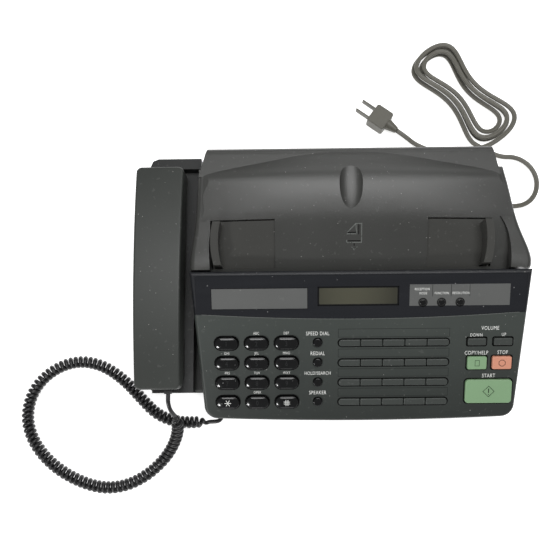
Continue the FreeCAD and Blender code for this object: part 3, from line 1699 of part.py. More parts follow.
class SmoothRoute:
    """Quadratic spline over a route's points, with lengths and level frames along it."""

    def __init__(self, points, per_span):
        self.points = points
        spans = len(points) - 2
        self.samples = [self.at(spans * i / (spans * per_span)) for i in range(spans * per_span + 1)]
        self.lengths = [0.0]
        for a, b in zip(self.samples, self.samples[1:]):
            self.lengths.append(self.lengths[-1] + b.sub(a).Length)
        self.total = self.lengths[-1]
        self.normals = self.carried_normals()

    def knot(self, index):
        """Knot of a clamped uniform quadratic spline."""
        return float(min(max(index - 2, 0), len(self.points) - 2))

    def at(self, t):
        """Point of the spline at a parameter."""
        span = min(int(t), len(self.points) - 3) + 2
        d = [self.points[span - 2 + i] for i in range(3)]
        for level in (1, 2):
            for j in range(2, level - 1, -1):
                low = self.knot(span - 2 + j)
                high = self.knot(span + 1 + j - level)
                share = (t - low) / (high - low)
                d[j] = d[j - 1] * (1 - share) + d[j] * share
        return d[2]

    def headings(self):
        """Unit heading at each sample."""
        result = []
        last = len(self.samples) - 1
        for i in range(last + 1):
            t = self.samples[min(i + 1, last)].sub(self.samples[max(i - 1, 0)])
            t.normalize()
            result.append(t)
        return result

    def carried_normals(self):
        """Normals carried along without twist."""
        headings = self.headings()
        normal = headings[0].cross(V(0, 0, 1))
        normals = []
        for t in headings:
            normal = normal.sub(t * normal.dot(t))
            normal.normalize()
            normals.append(V(normal))
        self.tangents = headings
        return normals

    def frame(self, s):
        """Point, normal and binormal at a length along the route."""
        s = min(max(s, 0.0), self.total)
        low = 0
        high = len(self.lengths) - 1
        while high - low > 1:
            middle = (low + high) // 2
            if self.lengths[middle] <= s:
                low = middle
            else:
                high = middle
        share = (s - self.lengths[low]) / (self.lengths[high] - self.lengths[low])
        point = self.samples[low] * (1 - share) + self.samples[high] * share
        normal = self.normals[low] * (1 - share) + self.normals[high] * share
        tangent = self.tangents[low] * (1 - share) + self.tangents[high] * share
        normal.normalize()
        binormal = tangent.cross(normal)
        binormal.normalize()
        return point, normal, binormal


def lead_route():
    """Points of the curly lead's route, straight for a little way at both plugs."""
    start, start_out = handset_plug_face()
    end, end_out = base_plug_face()
    first = [start, start.add(start_out * lead_stub), start.add(start_out * (2 * lead_stub))]
    last = [end.add(end_out * (2 * lead_stub)), end.add(end_out * lead_stub), end]
    return first + handset_lead + last


def handset_cord():
    """Curly lead from the handset to the base: plain ends and a helix between them."""
    route = SmoothRoute(lead_route(), 40)
    first = lead_plain_start
    last = route.total - lead_plain_end

    def fullness(s):
        share = min((s - first) / curl_fade, (last - s) / curl_fade, 1.0)
        share = max(share, 0.0)
        return share * share * (3 - 2 * share)

    step = 0.25
    lengths = [step * i for i in range(int(route.total / step) + 1)]
    angles = [0.0]
    for s in lengths[1:]:
        pitch = curl_loose_pitch + (curl_pitch - curl_loose_pitch) * fullness(s)
        turning = 2 * math.pi / pitch if first < s < last else 0.0
        angles.append(angles[-1] + turning * step)

    def angle_at(s):
        place = min(max(s / step, 0.0), len(angles) - 1.001)
        low = int(place)
        return angles[low] + (angles[low + 1] - angles[low]) * (place - low)

    def wire_point(s):
        point, normal, binormal = route.frame(s)
        r = curl_mean_radius * fullness(s)
        a = angle_at(s)
        return point.add(normal * (r * math.cos(a))).add(binormal * (r * math.sin(a)))

    stations = [0.0, curl_wire, first * 0.6]
    quarter = math.pi / 2
    wanted = quarter / 2
    for s, angle in zip(lengths, angles):
        if first < s < last and angle >= wanted:
            stations.append(s)
            wanted += quarter
    stations += [last + lead_plain_end * 0.35, route.total - curl_wire, route.total]
    print("handset_cord curls %.0f, route %.0f mm" % (angles[-1] / (2 * math.pi), route.total))
    return curve_solid("handset_cord", wire_point, stations, 0.12, curl_wire, 18)


def rubber_feet():
    """Four rubber feet."""
    return Part.makeCompound(
        [rod_z(x, y, 0, floor_bottom + foot_recess, foot_radius - hook_play / 3) for x, y in foot_places()]
    )


def case_screws():
    """Screws in the bottom of the base."""
    screws = []
    for x, y in screw_places():
        head = rod_z(x, y, floor_bottom + 0.2, floor_bottom + screw_head_height, screw_head_radius)
        shank = rod_z(x, y, floor_bottom + screw_head_height,
                      floor_bottom + screw_head_height + screw_shank_length,
                      screw_shank_radius)
        slot = block(x - screw_head_radius, x + screw_head_radius, y - 0.5, y + 0.5, floor_bottom,
                     floor_bottom + 1.0)
        screws.append(joined([head, shank]).cut(slot))
    return Part.makeCompound(screws)


def assembly():
    """Every piece of the machine by name."""
    pieces = {
        "base_tray": base_tray(),
        "handset_cradle": handset_cradle(),
        "rubber_feet": rubber_feet(),
        "case_screws": case_screws(),
        "main_board": main_board(),
        "drive_motor": drive_motor(),
        "loudspeaker": loudspeaker(),
        "line_jacks": line_jacks(),
        "thermal_head": thermal_head(),
        "image_sensor": image_sensor(),
        "paper_roll": paper_roll(),
        "platen_roller": roller(platen_y, platen_z, platen_radius),
        "feed_roller": roller(feed_y, feed_z, feed_radius),
        "idler_gear": idler_gear(),
        "motor_gear": motor_gear(),
        "hook_switch": hook_switch(),
        "panel_housing": panel_housing(),
        "display_bezel": display_bezel(),
        "display_window": display_window(),
        "panel_board": panel_board(),
        "top_cover": top_cover(),
        "guide_left": document_guide(-1),
        "guide_right": document_guide(1),
        "guide_pinion": guide_pinion(),
        "handset_back": handset_back(),
        "handset_face": handset_face(),
        "handset_cord_plug": handset_cord_plug(),
        "base_cord_plug": base_cord_plug(),
        "handset_cord": handset_cord(),
        "mains_strain_relief": mains_strain_relief(),
        "mains_cord_hank": mains_cord_hank(),
        "mains_plug": mains_plug(),
        "volume_rocker": on_panel(volume_rocker()),
    }
    entry, leave = mains_cord()
    pieces["mains_cord"] = Part.makeCompound([entry, leave])
    for name, key in all_keys().items():
        pieces[name] = on_panel(key.solid())
    for row in range(4):
        pieces["memory_keys_%d" % (row + 1)] = on_panel(memory_row_solid(row))
    return pieces


os.makedirs("parts", exist_ok=True)
for name, shape in assembly().items():
    shape.exportStep("parts/%s.step" % name)
    if not shape.isValid():
        print(name, "is not valid")
    print(name, len(shape.Solids), "%.0f mm3" % shape.Volume)
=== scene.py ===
import logging
import math
from dataclasses import dataclass
from enum import Enum
from typing import Any, Callable, ClassVar, Iterable, Sequence, Union

import bpy
from bpy.types import ID, Curve, Material, Mesh, NodeSocket, Object
from mathutils import Matrix, Vector
from mathutils.bvhtree import BVHTree
from mathutils.geometry import tessellate_polygon


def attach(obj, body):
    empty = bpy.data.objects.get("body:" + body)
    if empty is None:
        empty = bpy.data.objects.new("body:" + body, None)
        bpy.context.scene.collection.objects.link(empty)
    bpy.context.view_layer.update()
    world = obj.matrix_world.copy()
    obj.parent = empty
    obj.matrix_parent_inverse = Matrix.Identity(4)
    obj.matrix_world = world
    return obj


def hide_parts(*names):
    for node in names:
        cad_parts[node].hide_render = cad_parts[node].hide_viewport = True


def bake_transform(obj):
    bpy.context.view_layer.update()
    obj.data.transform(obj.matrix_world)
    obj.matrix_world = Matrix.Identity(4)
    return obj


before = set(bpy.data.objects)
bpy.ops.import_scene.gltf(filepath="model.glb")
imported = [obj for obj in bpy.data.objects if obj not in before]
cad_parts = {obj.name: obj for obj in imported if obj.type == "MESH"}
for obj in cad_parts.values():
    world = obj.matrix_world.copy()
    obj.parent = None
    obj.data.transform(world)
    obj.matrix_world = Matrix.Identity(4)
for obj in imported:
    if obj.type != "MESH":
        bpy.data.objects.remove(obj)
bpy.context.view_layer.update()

LOG = logging.getLogger("fax_machine")
Flat = tuple[float, float]
Triple = tuple[float, float, float]
# A box has its lowest and highest u, then its lowest and highest v.
Box = tuple[float, float, float, float]
# A label has its text, its middle's u and v, and its letter size.
Label = tuple[str, float, float, float]
Colour = Triple
MM = 0.001
UP = Vector((0.0, 0.0, 1.0))
WHITE = (1.0, 1.0, 1.0)
HAZE = (0.6, 0.6, 0.58)
DUST = (0.62, 0.61, 0.58)
PALE_DUST = (0.6, 0.6, 0.6)
CORD_DUST = (0.5, 0.49, 0.46)
SOLDER = (0.6, 0.6, 0.56)
PANEL_ORIGIN = (28.0, -131.8, 33.0)
PANEL_SLOPE = 21.9
DIAL_NAMES = (*"123456789", "star", "0", "hash")
LETTER_SPACING = 1.12
LETTER_NARROWING = 0.74


def rgba(colour: Colour) -> tuple[float, float, float, float]:
    """Give a colour its alpha of 1."""
    return (*colour, 1.0)


def scaled(colour: Colour, factor: float) -> Colour:
    """Brighten or darken a colour by a factor."""
    return tuple(min(1.0, channel * factor) for channel in colour)


# Shader values and materials


def operator(operation: str, swapped: bool = False) -> Callable[["Term", "Value"], "Term"]:
    """Make an operator of shader values.

    Args:
        operation: The math node's operation.
        swapped: Whether the other value comes first.

    Returns:
        The operator's method.
    """

    def combine(term: "Term", other: "Value") -> "Term":
        """Combine a shader value with another value."""
        pair = (other, term) if swapped else (term, other)
        return term.shading.math(operation, *pair)

    return combine


class Term:
    """A shader value that can be combined with ordinary operators."""

    def __init__(self, shading: "Shading", socket: NodeSocket) -> None:
        """Wrap one output socket of a material's node tree."""
        self.shading = shading
        self.socket = socket

    __add__ = operator("ADD")
    __radd__ = operator("ADD", True)
    __sub__ = operator("SUBTRACT")
    __rsub__ = operator("SUBTRACT", True)
    __mul__ = operator("MULTIPLY")
    __rmul__ = operator("MULTIPLY", True)
    __truediv__ = operator("DIVIDE")
    __lt__ = operator("LESS_THAN")
    __gt__ = operator("GREATER_THAN")


Value = Union[Term, float]


class Shading:
    """The node tree of one material."""

    def __init__(self, name: str) -> None:
        """Start a material with one surface shader.

        Args:
            name: The material's name.
        """
        self.material = bpy.data.materials.new(name)
        self.material.use_nodes = True
        self.tree = self.material.node_tree
        self.tree.nodes.clear()
        self.shader = self.tree.nodes.new("ShaderNodeBsdfPrincipled")
        output = self.tree.nodes.new("ShaderNodeOutputMaterial")
        self.tree.links.new(self.shader.outputs[0], output.inputs[0])

    def feed(self, socket: NodeSocket, value: Any) -> None:
        """Link a term to a socket, or set the socket's own value.

        Args:
            socket: The input to feed.
            value: A term or a plain value.
        """
        if isinstance(value, Term):
            self.tree.links.new(value.socket, socket)
        else:
            socket.default_value = value

    def node(self, kind: str, settings: dict[str, Any], inputs: dict[Any, Any], output: Any = 0) -> Term:
        """Add a node.

        Args:
            kind: The node's type name.
            settings: Attributes, set before the sockets.
            inputs: Values or terms by socket name or index.
            output: Which output to return.

        Returns:
            The chosen output as a term.
        """
        made = self.tree.nodes.new(kind)
        for key, value in settings.items():
            setattr(made, key, value)
        for key, value in inputs.items():
            self.feed(made.inputs[key], value)
        return Term(self, made.outputs[output])

    def math(self, operation: str, *values: Value) -> Term:
        """Combine values with one math operation."""
        return self.node("ShaderNodeMath", {"operation": operation}, dict(enumerate(values)))

    def mix(self, share: Value, first: Any, second: Any) -> Term:
        """Blend two colours by a share."""
        return self.node("ShaderNodeMix", {"data_type": "RGBA"}, {0: share, 6: first, 7: second}, 2)

    def tones(self, share: Value, colour: Colour, low: float, high: float) -> Term:
        """Blend two tones of one colour by a share."""
        return self.mix(share, rgba(scaled(colour, low)), rgba(scaled(colour, high)))

    def place(self, stretch: Triple = (1.0, 1.0, 1.0)) -> Term:
        """Coordinates of the object, stretched along its axes."""
        here = self.node("ShaderNodeTexCoord", {}, {}, "Object")
        return self.node("ShaderNodeVectorMath", {"operation": "MULTIPLY"}, {0: here, 1: stretch})

    def axis(self, name: str) -> Term:
        """One coordinate of the object, X, Y or Z."""
        return self.node("ShaderNodeSeparateXYZ", {}, {0: self.place()}, name)

    def noise(self, scale: float, detail: float = 2.0, stretch: Triple = (1.0, 1.0, 1.0)) -> Term:
        """Smooth noise between 0 and 1."""
        inputs = {"Vector": self.place(stretch), "Scale": scale, "Detail": detail}
        return self.node("ShaderNodeTexNoise", {}, inputs)

    def cells(self, scale: float) -> Term:
        """Distance from scattered points, in cell sizes."""
        return self.node("ShaderNodeTexVoronoi", {}, {"Vector": self.place(), "Scale": scale}, "Distance")

    def bump(self, height: Term, strength: float, distance: float) -> Term:
        """Surface normal roughened by a height."""
        inputs = {"Strength": strength, "Distance": distance, "Height": height}
        return self.node("ShaderNodeBump", {}, inputs, "Normal")

    def surface(self, inputs: dict[str, Any]) -> None:
        """Set the surface shader's sockets to values or terms, by their names."""
        for key, value in inputs.items():
            self.feed(self.shader.inputs[key], value)


@dataclass(frozen=True)
class Finish:
    """A look that can be made into a material."""

    name: str
    colour: Colour

    def make(self) -> Material:
        """Build the material.

        Returns:
            The material.
        """
        shading = Shading(self.name)
        self.fill(shading)
        return shading.material

    def fill(self, s: Shading) -> None:
        """Set the surface shader's inputs.

        Args:
            s: The material's node tree.
        """
        raise NotImplementedError


@dataclass(frozen=True)
class MouldedPlastic(Finish):
    """Moulded plastic with a fine texture, faint mottling and scattered dust."""

    roughness: float = 0.5
    grain: float = 0.25
    dust: float = 0.6
    mottle: float = 0.16
    specular: float = 0.4

    def fill(self, s: Shading) -> None:
        """Set the surface shader's inputs.

        Args:
            s: The material's node tree.
        """
        broad = s.noise(11.0, 4.0)
        fine = s.noise(1500.0, 2.0)
        patch = s.noise(38.0, 2.0)
        speck = s.cells(120.0) < 0.02 + 0.04 * patch
        haze = s.noise(260.0, 3.0) > 0.67
        body = self.body(s, broad)
        hazed = s.mix(haze * (0.06 * self.dust), body, rgba(HAZE))
        dusty = s.mix(speck * self.dust, hazed, rgba(DUST))
        rough = self.roughness + 0.14 * (broad - 0.5) + 0.2 * speck
        s.surface({
            "Base Color": dusty,
            "Roughness": rough,
            "Specular IOR Level": self.specular,
            "Normal": s.bump(fine + 0.4 * patch, self.grain, 0.0003),
        })

    def body(self, s: Shading, broad: Term) -> Term:
        """Colour under the dust, faintly mottled."""
        return s.tones(broad, self.colour, 1 - self.mottle, 1 + self.mottle)


@dataclass(frozen=True)
class PanelPlastic(MouldedPlastic):
    """Moulded plastic that is black round the display strip, on the panel's upper face only, with painted
    shade that darkens it towards the front.
    """

    black: Colour = (0.009, 0.01, 0.013)
    start: float = 108.3 * MM
    depth: float = 3.4 * MM
    # Painted shade: the colour darkens over this reach from the front, down to this share of itself.
    painted_shade_reach: float = 95.0 * MM
    painted_front_shade: float = 0.55

    def body(self, s: Shading, broad: Term) -> Term:
        """Colour under the dust, with the black surround and painted shade towards the front.

        Args:
            s: The material's node tree.
            broad: Noise that mottles the colour.

        Returns:
            The colour.
        """
        slope = math.radians(PANEL_SLOPE)
        y = s.axis("Y") - PANEL_ORIGIN[1] * MM
        z = s.axis("Z") - PANEL_ORIGIN[2] * MM
        along = y * math.cos(slope) + z * math.sin(slope)
        above = z * math.cos(slope) - y * math.sin(slope)
        surround = (along > self.start) * (above > -self.depth)
        # Painted shade, darkest at the panel's front edge.
        front = 1.0 - along / self.painted_shade_reach
        shaded = s.mix(front, super().body(s, broad), rgba(scaled(self.colour, self.painted_front_shade)))
        return s.mix(surround, shaded, rgba(self.black))


@dataclass(frozen=True)
class GlossStrip(Finish):
    """Polished dark plastic with wipe marks and a little dust."""

    roughness: float = 0.14

    def fill(self, s: Shading) -> None:
        """Set the surface shader's inputs.

        Args:
            s: The material's node tree.
        """
        wipe = s.noise(40.0, 5.0, (0.4, 2.2, 2.2))
        speck = s.cells(120.0) < 0.05
        body = s.tones(wipe * 0.5, self.colour, 1.0, 1.5)
        dusty = s.mix(speck * 0.5, body, rgba(PALE_DUST))
        s.surface({
            "Base Color": dusty,
            "Roughness": self.roughness + 0.16 * wipe + 0.2 * speck,
            "Coat Weight": 0.3 * wipe,
            "Normal": s.bump(s.noise(300.0, 2.0), 0.02, 0.0002),
        })


@dataclass(frozen=True)
class DisplayFinish(Finish):
    """Unlit dot-matrix display behind clear plastic, with a painted highlight across its middle."""

    dot_pitch: float = 0.9 * MM
    # Middle and half width of the painted highlight.
    centre_x: float = 20.0 * MM
    half_width: float = 40.0 * MM

    def fill(self, s: Shading) -> None:
        """Set the surface shader's inputs.

        Args:
            s: The material's node tree.
        """
        across = s.math("FRACT", s.axis("X") / self.dot_pitch)
        along = s.math("FRACT", s.axis("Y") / self.dot_pitch)
        line = s.math("MAXIMUM", across < 0.14, along < 0.14)
        shade = s.noise(22.0, 3.0)
        # Painted highlight: brighter in the display's middle, darker towards its ends.
        middle = s.axis("X") / self.half_width - self.centre_x / self.half_width
        painted_middle_light = 1.0 - s.math("POWER", s.math("ABSOLUTE", middle), 2.0)
        body = s.tones(painted_middle_light * (0.6 + 0.4 * shade), self.colour, 0.6, 1.5)
        dotted = s.mix(line * 0.25, body, rgba(scaled(self.colour, 1.5)))
        s.surface({
            "Base Color": dotted,
            "Roughness": 0.16 + 0.1 * shade,
            "Coat Weight": 0.4,
            "Normal": s.bump(s.noise(500.0, 1.0), 0.02, 0.0001),
        })


@dataclass(frozen=True)
class Steel(Finish):
    """Plated steel with drawn lines and faint tarnish."""

    colour: Colour = (0.5, 0.5, 0.49)
    lines: Triple = (0.02, 1.0, 1.0)

    def fill(self, s: Shading) -> None:
        """Set the surface shader's inputs.

        Args:
            s: The material's node tree.
        """
        drawn = s.noise(900.0, 3.0, self.lines)
        tarnish = s.noise(30.0, 4.0)
        body = s.tones(tarnish, self.colour, 1.0, 0.7)
        s.surface({
            "Base Color": body,
            "Metallic": 0.95,
            "Roughness": 0.28 + 0.25 * drawn,
            "Normal": s.bump(drawn, 0.12, 0.0002),
        })


@dataclass(frozen=True)
class Rubber(Finish):
    """Dull rubber or soft cord jacket."""

    roughness: float = 0.7
    wear: float = 0.25
    specular: float = 0.35

    def fill(self, s: Shading) -> None:
        """Set the surface shader's inputs.

        Args:
            s: The material's node tree.
        """
        worn = s.noise(70.0, 5.0)
        fine = s.noise(1100.0, 2.0)
        speck = s.cells(210.0) < 0.04
        body = s.tones(worn, self.colour, 1 - self.wear, 1 + self.wear)
        dusty = s.mix(speck * 0.35, body, rgba(CORD_DUST))
        s.surface({
            "Base Color": dusty,
            "Roughness": self.roughness + 0.15 * (worn - 0.5),
            "Specular IOR Level": self.specular,
            "Normal": s.bump(fine + worn, 0.15, 0.0002),
        })


@dataclass(frozen=True)
class WoundPaper(Finish):
    """Paper wound in many layers."""

    colour: Colour = (0.86, 0.85, 0.8)

    def fill(self, s: Shading) -> None:
        """Set the surface shader's inputs.

        Args:
            s: The material's node tree.
        """
        layer = s.noise(1600.0, 1.0, (0.02, 1.0, 1.0))
        fibre = s.noise(420.0, 4.0)
        body = s.tones(layer * 0.6, self.colour, 1.0, 0.88)
        s.surface({
            "Base Color": s.mix(fibre * 0.2, body, rgba(scaled(self.colour, 0.93))),
            "Roughness": 0.75 + 0.15 * fibre,
            "Normal": s.bump(layer + fibre, 0.15, 0.0002),
        })


@dataclass(frozen=True)
class CircuitBoard(Finish):
    """Solder mask over copper tracks."""

    colour: Colour = (0.03, 0.16, 0.07)

    def fill(self, s: Shading) -> None:
        """Set the surface shader's inputs.

        Args:
            s: The material's node tree.
        """
        across = s.math("FRACT", s.axis("X") * 260.0 + s.noise(18.0, 0.0) * 2.0)
        along = s.math("FRACT", s.axis("Y") * 230.0 + s.noise(23.0, 0.0) * 2.0)
        track = s.math("MAXIMUM", across < 0.3, along < 0.22)
        pad = s.cells(240.0) < 0.2
        body = s.tones(track * 0.5, self.colour, 1.0, 1.7)
        s.surface({
            "Base Color": s.mix(pad, body, rgba(SOLDER)),
            "Metallic": pad * 0.8,
            "Roughness": 0.35 + 0.1 * track,
            "Normal": s.bump(track + pad, 0.2, 0.0002),
        })


@dataclass(frozen=True)
class PrintInk(Finish):
    """Printed ink, slightly worn; also painted highlights and painted shade."""

    wear: float = 0.25

    def fill(self, s: Shading) -> None:
        """Set the surface shader's inputs.

        Args:
            s: The material's node tree.
        """
        worn = s.noise(600.0, 3.0)
        body = s.tones(worn, self.colour, 1.0, 1 - self.wear)
        s.surface({"Base Color": body, "Roughness": 0.5 + 0.2 * worn, "Specular IOR Level": 0.1})


class Palette(Enum):
    """Every finish on the machine."""

    CABINET = MouldedPlastic("cabinet_plastic", (0.04, 0.043, 0.04), 0.45)
    PANEL = PanelPlastic("panel_plastic", (0.05, 0.058, 0.053), 0.42)
    COVER = MouldedPlastic("cover_plastic", (0.042, 0.0428, 0.04), 0.36, specular=0.55)
    # Painted shade: the cradle's colour is darkened for the shade round the handset.
    CRADLE = MouldedPlastic("cradle_plastic_painted_shade", (0.026, 0.027, 0.027), 0.5, specular=0.35)
    HANDSET = MouldedPlastic("handset_plastic", (0.038, 0.042, 0.038), 0.42, 0.2, specular=0.4)
    GUIDE = MouldedPlastic("guide_plastic", (0.05, 0.05, 0.046), 0.32, 0.15, specular=0.55)
    STRIP = GlossStrip("strip_plastic", (0.009, 0.01, 0.013))
    FILM = MouldedPlastic("film_plastic", (0.115, 0.118, 0.115), 0.4, 0.1, 0.5)
    DISPLAY = DisplayFinish("display_face", (0.055, 0.054, 0.037))
    DARK_KEY = GlossStrip("dark_key_plastic", (0.002, 0.0023, 0.0025), 0.07)
    FLAT_KEY = MouldedPlastic("flat_key_plastic", (0.05, 0.056, 0.052), 0.36, 0.15)
    GREEN_KEY = MouldedPlastic("green_key_plastic", (0.235, 0.38, 0.215), 0.45, 0.12, 0.2, 0.06)
    ORANGE_KEY = MouldedPlastic("orange_key_plastic", (0.68, 0.3, 0.2), 0.45, 0.12, 0.2, 0.06)
    BLACK_PLASTIC = MouldedPlastic("black_plastic", (0.02, 0.02, 0.02), 0.45, 0.2, 0.2)
    GEAR = MouldedPlastic("gear_plastic", (0.66, 0.65, 0.6), 0.4, 0.1, 0.0)
    RUBBER = Rubber("foot_rubber", (0.025, 0.025, 0.025), 0.8)
    ROLLER = Rubber("roller_rubber", (0.05, 0.05, 0.05), 0.75)
    CURLY = Rubber("curly_jacket", (0.012, 0.012, 0.013), 0.36, 0.2, 0.5)
    MAINS = Rubber("mains_jacket", (0.135, 0.13, 0.108), 0.4, 0.12, 0.45)
    STEEL = Steel("plated_steel")
    BOARD = CircuitBoard("circuit_board")
    PAPER = WoundPaper("roll_paper")
    WHITE_INK = PrintInk("white_ink", (0.9, 0.91, 0.88), 0.12)
    DIM_INK = PrintInk("dim_ink", (0.03, 0.031, 0.032))
    # Painted highlight, along the strip's lower edge and on the feed symbol's raised edges.
    HIGHLIGHT_PAINT = PrintInk("painted_highlight_grey", (0.17, 0.18, 0.17))
    EDGE_INK = PrintInk("edge_ink", (0.026, 0.028, 0.026))
    # Dark print, also painted shade round the keys and on the feed symbol.
    DARK_INK_AND_SHADE = PrintInk("dark_ink_and_painted_shade", (0.004, 0.004, 0.004))


class Paintbox:
    """Makes each finish once and hands its material out."""

    def __init__(self) -> None:
        """Start with no materials made."""
        self.made: dict[Palette, Material] = {}

    def get(self, finish: Palette) -> Material:
        """Make a finish's material when it is first used.

        Args:
            finish: The finish to use.

        Returns:
            Its one material.
        """
        if finish not in self.made:
            self.made[finish] = finish.value.make()
        return self.made[finish]

    def dress(self, obj: Object, finish: Palette) -> None:
        """Give an object one finish."""
        obj.data.materials.clear()
        obj.data.materials.append(self.get(finish))


# Meshes


def linked(name: str, data: ID) -> Object:
    """Make an object of some data, linked to the scene.

    Args:
        name: The object's name.
        data: A mesh, curve, light or camera.

    Returns:
        The object.
    """
    made = bpy.data.objects.new(name, data)
    bpy.context.scene.collection.objects.link(made)
    return made


def mesh_object(name: str, points: Sequence[Vector], faces: Sequence[Sequence[int]]) -> Object:
    """Make an object out of points and faces, linked to the scene.

    Args:
        name: The object's name.
        points: Points in metres.
        faces: Point numbers of each face.

    Returns:
        The object.
    """
    mesh = bpy.data.meshes.new(name)
    mesh.from_pydata([tuple(p) for p in points], [], [tuple(f) for f in faces])
    mesh.update()
    LOG.info("%s: %d faces", name, len(faces))
    return linked(name, mesh)


def smooth(obj: Object) -> None:
    """Shade an object smoothly."""
    for polygon in obj.data.polygons:
        polygon.use_smooth = True


def curve_mesh(curve: Curve) -> Mesh:
    """Turn a curve or a text into a mesh.

    Args:
        curve: The curve or text, which is then removed.

    Returns:
        Its mesh.
    """
    holder = linked(curve.name, curve)
    bpy.context.view_layer.update()
    mesh = bpy.data.meshes.new_from_object(holder.evaluated_get(bpy.context.evaluated_depsgraph_get()))
    bpy.data.objects.remove(holder)
    bpy.data.curves.remove(curve)
    return mesh


def ring(u: float, v: float, radius: float, count: int, first: float = 0.0) -> list[Flat]:
    """Points evenly round a circle, from a first angle on."""
    turns = [first + 2 * math.pi * k / count for k in range(count)]
    return [(u + radius * math.cos(a), v + radius * math.sin(a)) for a in turns]


def rounded_outline(size: Triple, margin: float, count: int) -> list[Flat]:
    """Draw a line round a key.

    Args:
        size: The key's width, height and corner radius.
        margin: How far outside its edge.
        count: How many points.

    Returns:
        Points about the key's middle.
    """
    width, height, corner = size
    turns = [2 * math.pi * (k + 0.5) / count for k in range(count)]
    return [
        (math.copysign(width / 2 - corner, math.cos(a)) + (corner + margin) * math.cos(a),
         math.copysign(height / 2 - corner, math.sin(a)) + (corner + margin) * math.sin(a)) for a in turns
    ]


def ring_faces(rows: int, count: int) -> list[list[int]]:
    """Join rows of points, each of them a closed ring.

    Args:
        rows: How many rows.
        count: Points in each row.

    Returns:
        Point numbers of each face.
    """
    faces = []
    for low in range(0, (rows - 1) * count, count):
        for k in range(count):
            after = (k + 1) % count
            faces.append([low + k, low + after, low + count + after, low + count + k])
    return faces


class PrintSheet:
    """Flat printing gathered in one plane, in millimetres of that plane."""

    def __init__(self, plane: Matrix, level: float) -> None:
        """Start an empty sheet.

        Args:
            plane: Carries the plane's own frame, in metres, to the machine.
            level: Height over the plane in millimetres.
        """
        self.plane = plane
        self.level = level
        self.points: list[Flat] = []
        self.faces: list[list[int]] = []

    def add(self, points: Sequence[Flat], faces: Sequence[Sequence[int]]) -> None:
        """Add polygons.

        Args:
            points: Their corners.
            faces: Point numbers of each polygon.
        """
        start = len(self.points)
        self.points += list(points)
        self.faces += [[start + i for i in face] for face in faces]

    def word(self, text: str, u: float, v: float, size: float) -> None:
        """Add a word.

        Args:
            text: The word.
            u: Its middle's first coordinate.
            v: Its middle's second coordinate.
            size: Letter size in millimetres.
        """
        curve = bpy.data.curves.new("word", "FONT")
        curve.body = text
        curve.size = size
        curve.align_x = "CENTER"
        curve.align_y = "CENTER"
        curve.resolution_u = 3
        curve.space_character = LETTER_SPACING
        mesh = curve_mesh(curve)
        points = [(u + point.co.x * LETTER_NARROWING, v + point.co.y) for point in mesh.vertices]
        self.add(points, [list(face.vertices) for face in mesh.polygons])
        bpy.data.meshes.remove(mesh)

    def patch(self, box: Box, *holes: Sequence[Flat]) -> None:
        """Add a filled rectangle.

        Args:
            box: The rectangle.
            holes: Outlines of its holes.
        """
        u0, u1, v0, v1 = box
        loops = [[(u0, v0), (u1, v0), (u1, v1), (u0, v1)], *holes]
        faces = tessellate_polygon([[Vector((u, v, 0.0)) for u, v in loop] for loop in loops])
        self.add([point for loop in loops for point in loop], faces)

    def stroke(self, start: Flat, end: Flat, width: float) -> None:
        """Add a straight stroke with square ends.

        Args:
            start: Where it starts.
            end: Where it ends.
            width: Its width.
        """
        first = Vector(start)
        last = Vector(end)
        along = (last - first).normalized() * (width / 2)
        side = along.orthogonal()
        corners = (first - along - side, last + along - side, last + along + side, first - along + side)
        self.add([tuple(corner) for corner in corners], [[0, 1, 2, 3]])

    def path(self, points: Sequence[Flat], width: float) -> None:
        """Add an open line through points."""
        for start, end in zip(points, points[1:]):
            self.stroke(start, end, width)

    def outline(self, corners: Sequence[Flat], width: float) -> None:
        """Add a closed line through corners."""
        self.path([*corners, corners[0]], width)

    def frame_line(self, box: Box, width: float) -> None:
        """Add the outline of a rectangle."""
        u0, u1, v0, v1 = box
        self.outline([(u0, v0), (u1, v0), (u1, v1), (u0, v1)], width)

    def build(self, name: str, material: Material, body: str) -> None:
        """Make the sheet an object that rides a body.

        Args:
            name: The object's name.
            material: Its material.
            body: The body that carries it.
        """
        points = [self.plane @ Vector((u * MM, v * MM, self.level * MM)) for u, v in self.points]
        made = mesh_object(name, points, self.faces)
        made.data.materials.append(material)
        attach(made, body)


def headings(points: Sequence[Vector], level: bool) -> list[tuple[Vector, Vector]]:
    """Find directions along a line.

    Args:
        points: Points of the line.
        level: Keep the sideways ones level instead of carrying them without twist.

    Returns:
        A forward and a sideways direction for each point.
    """
    last = len(points) - 1
    found: list[tuple[Vector, Vector]] = []
    side = UP
    for i in range(last + 1):
        ahead = (points[min(i + 1, last)] - points[max(i - 1, 0)]).normalized()
        guess = ahead.cross(UP) if level or i == 0 else side
        side = (guess - ahead * guess.dot(ahead)).normalized()
        found.append((ahead, side))
    return found


def sweep(name: str, centres: Sequence[Vector], section: Sequence[Flat], level: bool) -> Object:
    """Sweep a section along a line.

    Args:
        name: The new object's name.
        centres: Points of the line.
        section: Closed outline, as sideways and upward offsets.
        level: Keep the section level instead of carrying it without twist.

    Returns:
        The swept object with closed ends.
    """
    count = len(section)
    points: list[Vector] = []
    for centre, (ahead, side) in zip(centres, headings(centres, level)):
        up = side.cross(ahead)
        points += [centre + side * a + up * b for a, b in section]
    faces = ring_faces(len(centres), count)
    faces.append(list(range(count)))
    faces.append(list(reversed(range(len(points) - count, len(points)))))
    made = mesh_object(name, points, faces)
    smooth(made)
    return made


